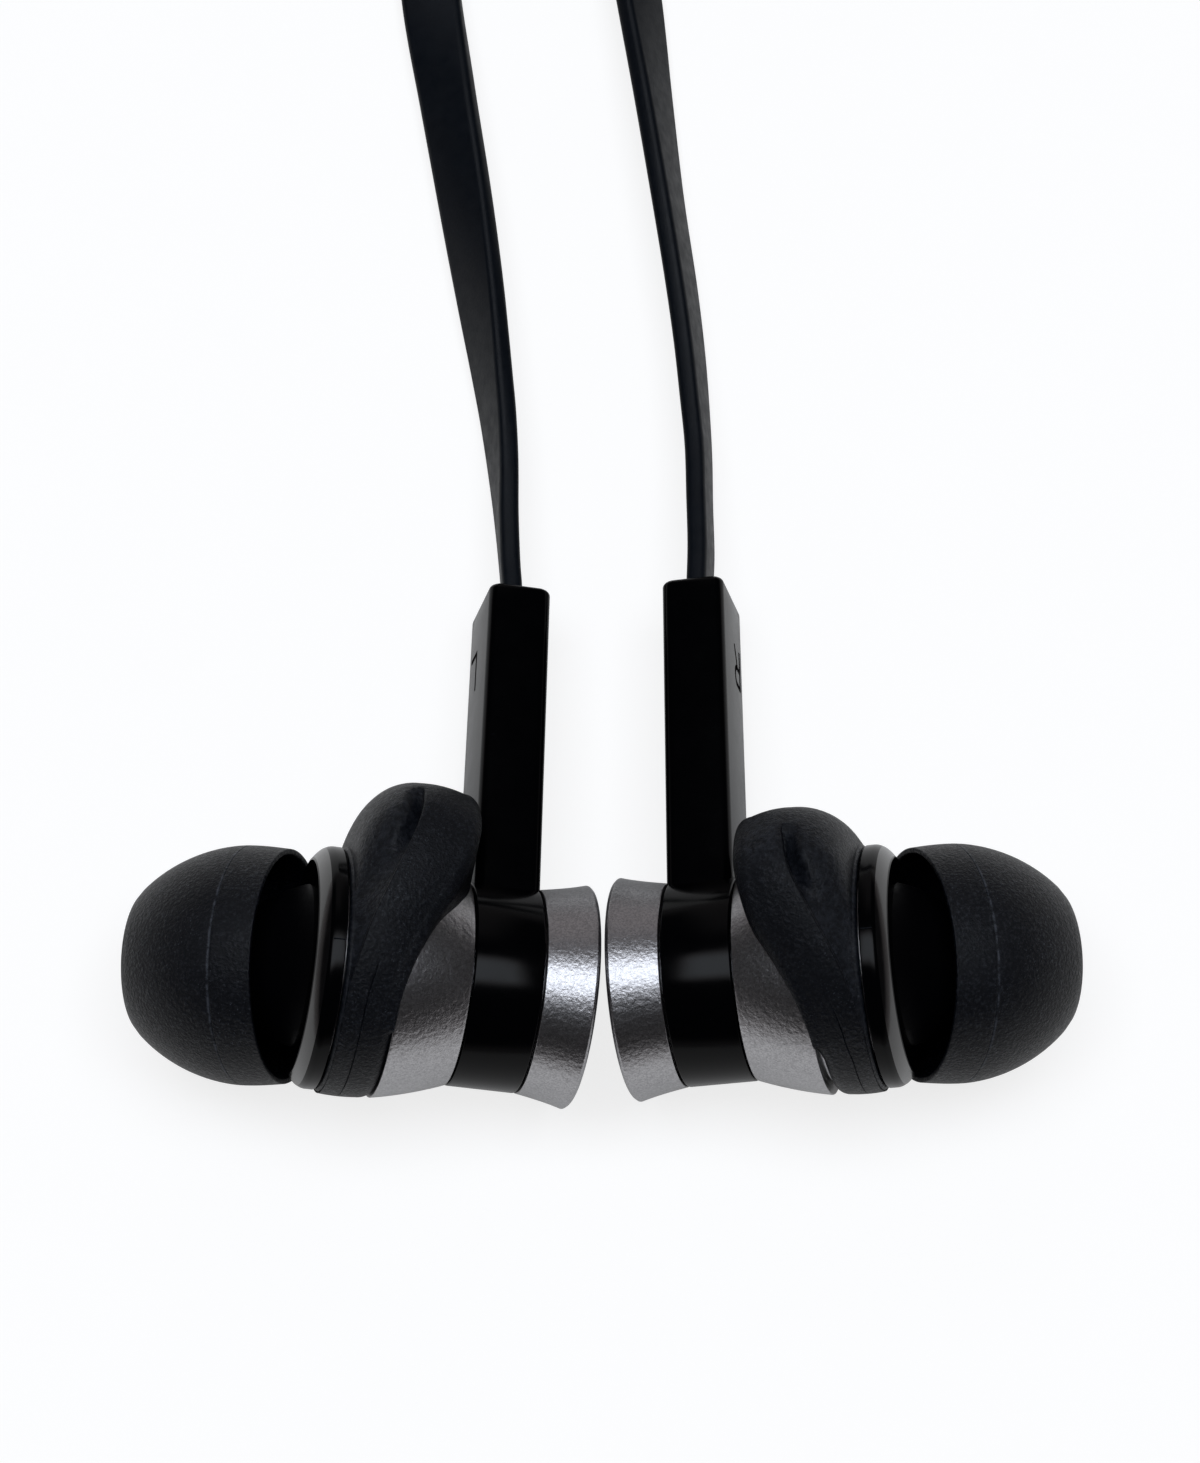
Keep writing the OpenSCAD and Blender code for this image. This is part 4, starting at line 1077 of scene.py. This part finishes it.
def make_plug():
    """The relief, grip and contacts are turned, the relief with slots cut round it in turns.

    The grip's radius falls by 0.09 mm in each flute, a cosine to the eighth power round it. Each
    slot of the relief is a bell in the radius, over two opposite quarters of the ring.
    """
    x = np.linspace(0, 9, 91)
    r = np.where(x < 8, 1.9 + 0.5 * x / 8, 2.4)
    relief = turned(np.stack([x, r], axis=1) * MM, CONTACT_SEGMENTS)
    t = np.linspace(0, 2 * math.pi, CONTACT_SEGMENTS, endpoint=False)
    slots = np.zeros((len(x), CONTACT_SEGMENTS))
    for i, at in enumerate(np.arange(1.2, 8.0, 1.1)):
        around = smoothstep(-0.1, 0.15, (1 if i % 2 else -1) * np.cos(2 * t))
        slots += bell(x, at, 0.2)[:, None] * around[None]
    relief[..., 1:] *= (1 - 0.45 * MM * slots / (r * MM)[:, None])[..., None]
    x = np.concatenate([[0], 0.5 - 0.5 * np.cos(np.linspace(0, math.pi / 2, 6)),
                        np.linspace(0.6, 13.1, 60), 13.2 + 0.8 * np.sin(np.linspace(0, math.pi / 2, 8))])
    r = 3 - 0.5 * np.sqrt(np.clip(1 - (1 - np.clip(0.5 - x, 0, 0.5) * 2) ** 2, 0, 1))
    r = r - 0.8 * (1 - np.sqrt(np.clip(1 - (np.clip(x - 13.2, 0, 0.8) / 0.8) ** 2, 0, 1)))
    r = r - 0.12 * bell(x, 2.2, 0.16) - 0.12 * bell(x, 11.6, 0.16)
    grip = turned(np.stack([x + 9, r], axis=1) * MM, GRIP_SEGMENTS)
    t = np.linspace(0, 2 * math.pi, GRIP_SEGMENTS, endpoint=False)
    flutes = np.cos(FLUTES / 2 * t) ** 8
    along = smoothstep(2.8, 3.6, x) * (1 - smoothstep(10.2, 11, x))
    grip[..., 1:] *= (1 - 0.09 * along[:, None] * flutes[None] / r[:, None])[..., None]
    sleeve = rounded([(23, 0), (23, 2.35), (24, 2.35), (24, 1.75), (31.3, 1.75), (31.3, 0)],
                     [0, 0.15, 0.15, 0.08, 0.04, 0], 4)
    bands = [rounded([(a, 0.6), (a, 1.7), (b, 1.7), (b, 0.6)], 0.04, 3)
             for a, b in ((31.3, 31.8), (34, 34.5))]
    ring = rounded([(31.8, 0.6), (31.8, 1.75), (34, 1.75), (34, 0.6)], 0.05, 3)
    tip = rounded([(34.5, 0), (34.5, 1.75), (34.95, 1.75), (35.85, 1.2), (36.4, 1.66), (36.8, 1.66),
                   (37.8, 0.7), (38, 0)], [0, 0.05, 0.2, 0.3, 0.25, 0.4, 0.35, 0], 6)
    pieces = []
    for name, rings, slot_name, nodes in (
            ("relief", relief, "cord_jacket", ["plug_relief"]),
            ("grip", grip, "matt_black", ["plug_grip"]),
            ("sleeve", contact(sleeve), "contact_gold", ["plug_sleeve"]),
            ("ring", contact(ring), "contact_gold", ["plug_ring"]),
            ("tip", contact(tip), "contact_gold", ["plug_tip"]),
            ("first_band", contact(bands[0]), "matt_black", ["plug_insulators"]),
            ("second_band", contact(bands[1]), "matt_black", ["plug_insulators"])):
        obj = skin(f"plug_{name}_skin", on_plug(rings), sharp=30)
        pieces.append(dressed(obj, "left_earpiece", slot_name, *nodes))
    return pieces


def round_coil(points, angle):
    """Points drawn beside the coil's centre, turned about it and put in place."""
    c, s = math.cos(angle), math.sin(angle)
    x, y, z = np.moveaxis(np.asarray(points, float), -1, 0)
    return np.stack([x * c - y * s + COIL_AT[0], x * s + y * c + COIL_AT[1], z], axis=-1)


def make_splitter():
    """A rounded bar whose ends shrink by a quarter circle, with a waist groove near each end."""
    length, width, height = 10.0, 2.8, 4.2
    y = np.concatenate([[0], 0.6 - 0.6 * np.cos(np.linspace(0, math.pi / 2, 8)[1:]),
                        np.linspace(0.7, 5.0, 44)])
    cut = 0.6 - np.sqrt(np.clip(0.36 - (0.6 - np.clip(y, 0, 0.6)) ** 2, 0, 1))
    cut = cut + 0.12 * bell(y, 1.5, 0.12) + 0.12 * bell(y, 2.1, 0.12)
    y = np.concatenate([y - length / 2, (length / 2 - y)[::-1][1:]])
    cut = np.concatenate([cut, cut[::-1][1:]])
    rings = []
    for at, less in zip(y, cut):
        p = rectangle(width - 2 * less, height - 2 * less, 0.58 - 0.3 * min(less, 0.6))
        rings.append(np.stack([p[:, 0] * MM + SPLITTER_AT[0], np.full(len(p), at * MM),
                               p[:, 1] * MM + LOWER_Z], axis=1))
    obj = skin("splitter_skin", round_coil(np.array(rings), SPLITTER_AT[1]), sharp=40)
    return dressed(obj, "left_earpiece", "matt_black", "splitter")


def make_tie():
    """A strap carried round the coil's section, its free end lying over it on the outside.

    The loop is a rectangle with round corners, and the strap's section is a flat rectangle that
    keeps at right angles to it.
    """
    x1, x2, top, wide, thick = 13.448, 25.05, 7.5, 8.0, 0.5
    loop = rounded([((x1 + x2) / 2, thick / 2), (x2 + thick / 2, thick / 2),
                    (x2 + thick / 2, top + thick / 2), (x1 - thick / 2, top + thick / 2),
                    (x1 - thick / 2, thick / 2), ((x1 + x2) / 2, thick / 2)], 0.55, 8)
    tab = np.stack([np.linspace(15.5, 24.6, 30), np.full(30, top + 0.71)], axis=1)
    section = rectangle(wide, thick * 0.96, 0.18, 4)
    for name, line, closed, scale in (("strap", loop[:-1], True, 1.0),
                                      ("strap_end", tab, False, 0.42)):
        way = np.gradient(np.vstack([line[-1], line, line[0]]) if closed else line, axis=0)
        way = way[1:-1] if closed else way
        way = way / np.linalg.norm(way, axis=1)[:, None]
        out = np.stack([way[:, 1], -way[:, 0]], axis=1)
        width = np.ones(len(line)) if closed else np.sqrt(np.clip(
            1 - np.clip((np.abs(line[:, 0] - 20.05) - 3.6) / 1.0, 0, 0.98) ** 2, 0.05, 1))
        side = line[:, None] + out[:, None] * section[None, :, 1:] * scale
        across = section[None, :, 0] * width[:, None] * (1.0 if closed else 0.94)
        rings = np.stack([side[..., 0], across, side[..., 1]], axis=-1) * MM
        obj = skin(f"{name}_skin", round_coil(rings, TIE_ANGLE), joined=closed, sharp=50)
        dressed(obj, "left_earpiece", "tie_strap", "coil_tie")


# ---- Remaining frame nodes -----------------------------------------------------------------

def dress_frame():
    """Every frame node that still shows gets the material of its slot."""
    slots = {p["node"]: p["material_slot"] for p in frame["record"]["subparts"]}
    for name, obj in frame["nodes"].items():
        if obj.hide_render:
            continue
        obj.data.materials.clear()
        obj.data.materials.append(material_for(slots[name]))


# ---- Stage, light and camera ---------------------------------------------------------------

CAMERA_TARGET = Vector((-0.000155, 0.00753, 0))
CAMERA_ELEVATION = 76.0
CAMERA_DISTANCE = 0.3
CAMERA_LENS = 5443.3 * 36 / 1463
FLOOR_HALF = 1.5
FLOOR_GLOW = 0.805
STRIP_LIGHT = 5.0
BACKDROP_LIGHT = 0.42
SIDE_LIGHT = 0.3
HORIZON_LIGHT = 0.4
LEAST_LIGHT = 0.03


def fading(tree, value, start, end):
    """1 up to start, 0 from end on, and a smooth step between."""
    return node(tree, "ShaderNodeMapRange", {
        "Value": value, "From Min": start, "From Max": end, "To Min": 1.0, "To Max": 0.0},
        interpolation_type="SMOOTHSTEP", clamp=True).outputs["Result"]


def floor_paper():
    """Pale paper that shows white in view and in gloss, and keeps the shadow on its own colour. In gloss
    its glow is darkened by ambient occlusion near the object, a painted shadow.
    """
    t, shader = new_material("floor_paper", (0.5, 0.5, 0.5), 0.9, specular=0.0)
    coloured(t, shader, noise(t, 200, 4.0), (0.275, 0.275, 0.275), (0.285, 0.285, 0.285))
    light_path = node(t, "ShaderNodeLightPath").outputs
    # Painted shadow: the glow seen in gloss fades with ambient occlusion near the object
    shadow = node(t, "ShaderNodeAmbientOcclusion", {"Distance": 0.06}, samples=4).outputs["AO"]
    mirrored = product(t, light_path["Is Glossy Ray"], math_node(t, "POWER", shadow, 1.5))
    seen = largest(t, light_path["Is Camera Ray"], mirrored, light_path["Is Transmission Ray"])
    t.links.new(product(t, seen, FLOOR_GLOW), shader.inputs["Emission Strength"])
    shader.inputs["Emission Color"].default_value = (1.0, 1.0, 1.0, 1)
    return bpy.data.materials["floor_paper"]


def make_floor():
    """The pale floor, a flat square."""
    mesh = bpy.data.meshes.new("floor")
    corners = [(x * FLOOR_HALF, y * FLOOR_HALF, 0) for x, y in ((-1, -1), (1, -1), (1, 1), (-1, 1))]
    mesh.from_pydata(corners, [], [(0, 1, 2, 3)])
    mesh.materials.append(floor_paper())
    floor = bpy.data.objects.new("floor", mesh)
    bpy.context.scene.collection.objects.link(floor)


def make_camera():
    """The camera, looking down at the target from the front at the camera's elevation."""
    scene = bpy.context.scene
    elevation = math.radians(CAMERA_ELEVATION)
    back = Vector((0, -math.cos(elevation), math.sin(elevation)))
    camera = bpy.data.objects.new("camera", bpy.data.cameras.new("camera"))
    scene.collection.objects.link(camera)
    camera.data.lens = CAMERA_LENS
    camera.data.sensor_width = 36
    camera.data.clip_start = 0.01
    camera.location = CAMERA_TARGET + back * CAMERA_DISTANCE
    camera.rotation_euler = (math.radians(90 - CAMERA_ELEVATION), 0, 0)
    scene.camera = camera


def make_light():
    """A world of soft bands: a strip overhead, a backdrop behind, the two sides and the horizon.

    The strip's bounds are on a level plane overhead, whose places are x / z and y / z.
    """
    world = bpy.data.worlds.new("surround")
    bpy.context.scene.world = world
    world.use_nodes = True
    t = world.node_tree
    background = t.nodes["Background"]
    way = node(t, "ShaderNodeSeparateXYZ",
               {"Vector": node(t, "ShaderNodeTexCoord").outputs["Generated"]}).outputs
    up = largest(t, way["Z"], 0.05)
    sideways = math_node(t, "ABSOLUTE", way["X"])
    across = math_node(t, "DIVIDE", sideways, up)
    along = math_node(t, "DIVIDE", way["Y"], up)
    strip = product(t, fading(t, across, 0.42, 0.58), fading(t, along, 0.26, 0.5),
                    fading(t, product(t, along, -1.0), 0.03, 0.22))
    behind = product(t, fading(t, way["Z"], 0.55, 0.85), fading(t, sideways, 0.2, 0.4),
                     fading(t, product(t, way["Y"], -1.0), -0.5, 0.0))
    beside = product(t, math_node(t, "SUBTRACT", 1.0, fading(t, sideways, 0.45, 0.75)),
                     fading(t, way["Z"], 0.14, 0.3))
    lit = math_node(t, "MULTIPLY_ADD", behind, BACKDROP_LIGHT, product(t, strip, STRIP_LIGHT))
    total = largest(t, lit, product(t, beside, SIDE_LIGHT),
                    product(t, fading(t, way["Z"], 0.05, 0.22), HORIZON_LIGHT), LEAST_LIGHT)
    t.links.new(total, background.inputs["Strength"])
    t.links.new(mixed(t, strip, (1.0, 0.93, 0.94), (0.86, 0.92, 1.0)), background.inputs["Color"])


def make_stage():
    """The floor, the camera and the light, with colours shown as they are."""
    make_floor()
    make_camera()
    make_light()
    bpy.context.scene.view_settings.view_transform = "Standard"


# ---- Operators -----------------------------------------------------------------------------

def running(make):
    """The execute function of an operator that calls another function."""
    def execute(self, context):
        make()
        return {"FINISHED"}
    return execute


class EARPHONES_OT_stage(bpy.types.Operator):
    """Add the camera, the floor and the light"""
    bl_idname = "earphones.stage"
    bl_label = "Stage and Camera"
    execute = running(make_stage)


class EARPHONES_OT_cords(bpy.types.Operator):
    """Add the cords with their splitter and plug"""
    bl_idname = "earphones.cords"
    bl_label = "Cords"
    execute = running(make_cords)


class EARPHONES_OT_tie(bpy.types.Operator):
    """Add the strap that holds the coil"""
    bl_idname = "earphones.tie"
    bl_label = "Coil Tie"
    execute = running(make_tie)


class EARPHONES_OT_ear_tips(bpy.types.Operator):
    """Add the soft ear tips"""
    bl_idname = "earphones.ear_tips"
    bl_label = "Ear Tips"
    execute = running(make_ear_tips)


class EARPHONES_OT_front_housings(bpy.types.Operator):
    """Add the front housings with their nozzles"""
    bl_idname = "earphones.front_housings"
    bl_label = "Front Housings"
    execute = running(make_front_housings)


class EARPHONES_OT_front_shells(bpy.types.Operator):
    """Add the silver front shells"""
    bl_idname = "earphones.front_shells"
    bl_label = "Front Shells"
    execute = running(make_front_shells)


class EARPHONES_OT_wing_sleeves(bpy.types.Operator):
    """Add the rubber sleeves with their fins"""
    bl_idname = "earphones.wing_sleeves"
    bl_label = "Wing Sleeves"
    execute = running(make_wing_sleeves)


class EARPHONES_OT_stem_housings(bpy.types.Operator):
    """Add the rings with their stems and side marks"""
    bl_idname = "earphones.stem_housings"
    bl_label = "Stem Housings"
    execute = running(make_stem_housings)


class EARPHONES_OT_back_caps(bpy.types.Operator):
    """Add the flared back caps"""
    bl_idname = "earphones.back_caps"
    bl_label = "Back Caps"
    execute = running(make_back_caps)


class EARPHONES_OT_frame(bpy.types.Operator):
    """Give the remaining frame nodes their materials"""
    bl_idname = "earphones.frame"
    bl_label = "Frame Materials"
    execute = running(dress_frame)


OPERATORS = (
    EARPHONES_OT_stage, EARPHONES_OT_cords, EARPHONES_OT_tie, EARPHONES_OT_ear_tips,
    EARPHONES_OT_front_housings, EARPHONES_OT_front_shells, EARPHONES_OT_wing_sleeves,
    EARPHONES_OT_stem_housings, EARPHONES_OT_back_caps, EARPHONES_OT_frame,
)


class EARPHONES_PT_panel(bpy.types.Panel):
    """Buttons for each group of pieces"""
    bl_idname = "EARPHONES_PT_panel"
    bl_label = "Wired Earphones"
    bl_space_type = "VIEW_3D"
    bl_region_type = "UI"
    bl_category = "Earphones"

    def draw(self, context):
        column = self.layout.column()
        for name in EarphoneSettings.__annotations__:
            column.prop(context.scene.earphones, name)
        for operator in OPERATORS:
            column.operator(operator.bl_idname)


def register():
    for cls in (EarphoneSettings, *OPERATORS, EARPHONES_PT_panel):
        bpy.utils.register_class(cls)
    bpy.types.Scene.earphones = bpy.props.PointerProperty(type=EarphoneSettings)


def unregister():
    del bpy.types.Scene.earphones
    for cls in reversed((EarphoneSettings, *OPERATORS, EARPHONES_PT_panel)):
        bpy.utils.unregister_class(cls)


def main():
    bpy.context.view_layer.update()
    register()
    for operator in OPERATORS:
        getattr(bpy.ops.earphones, operator.bl_idname.split(".")[1])()
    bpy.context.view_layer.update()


if __name__ == "__main__":
    main()
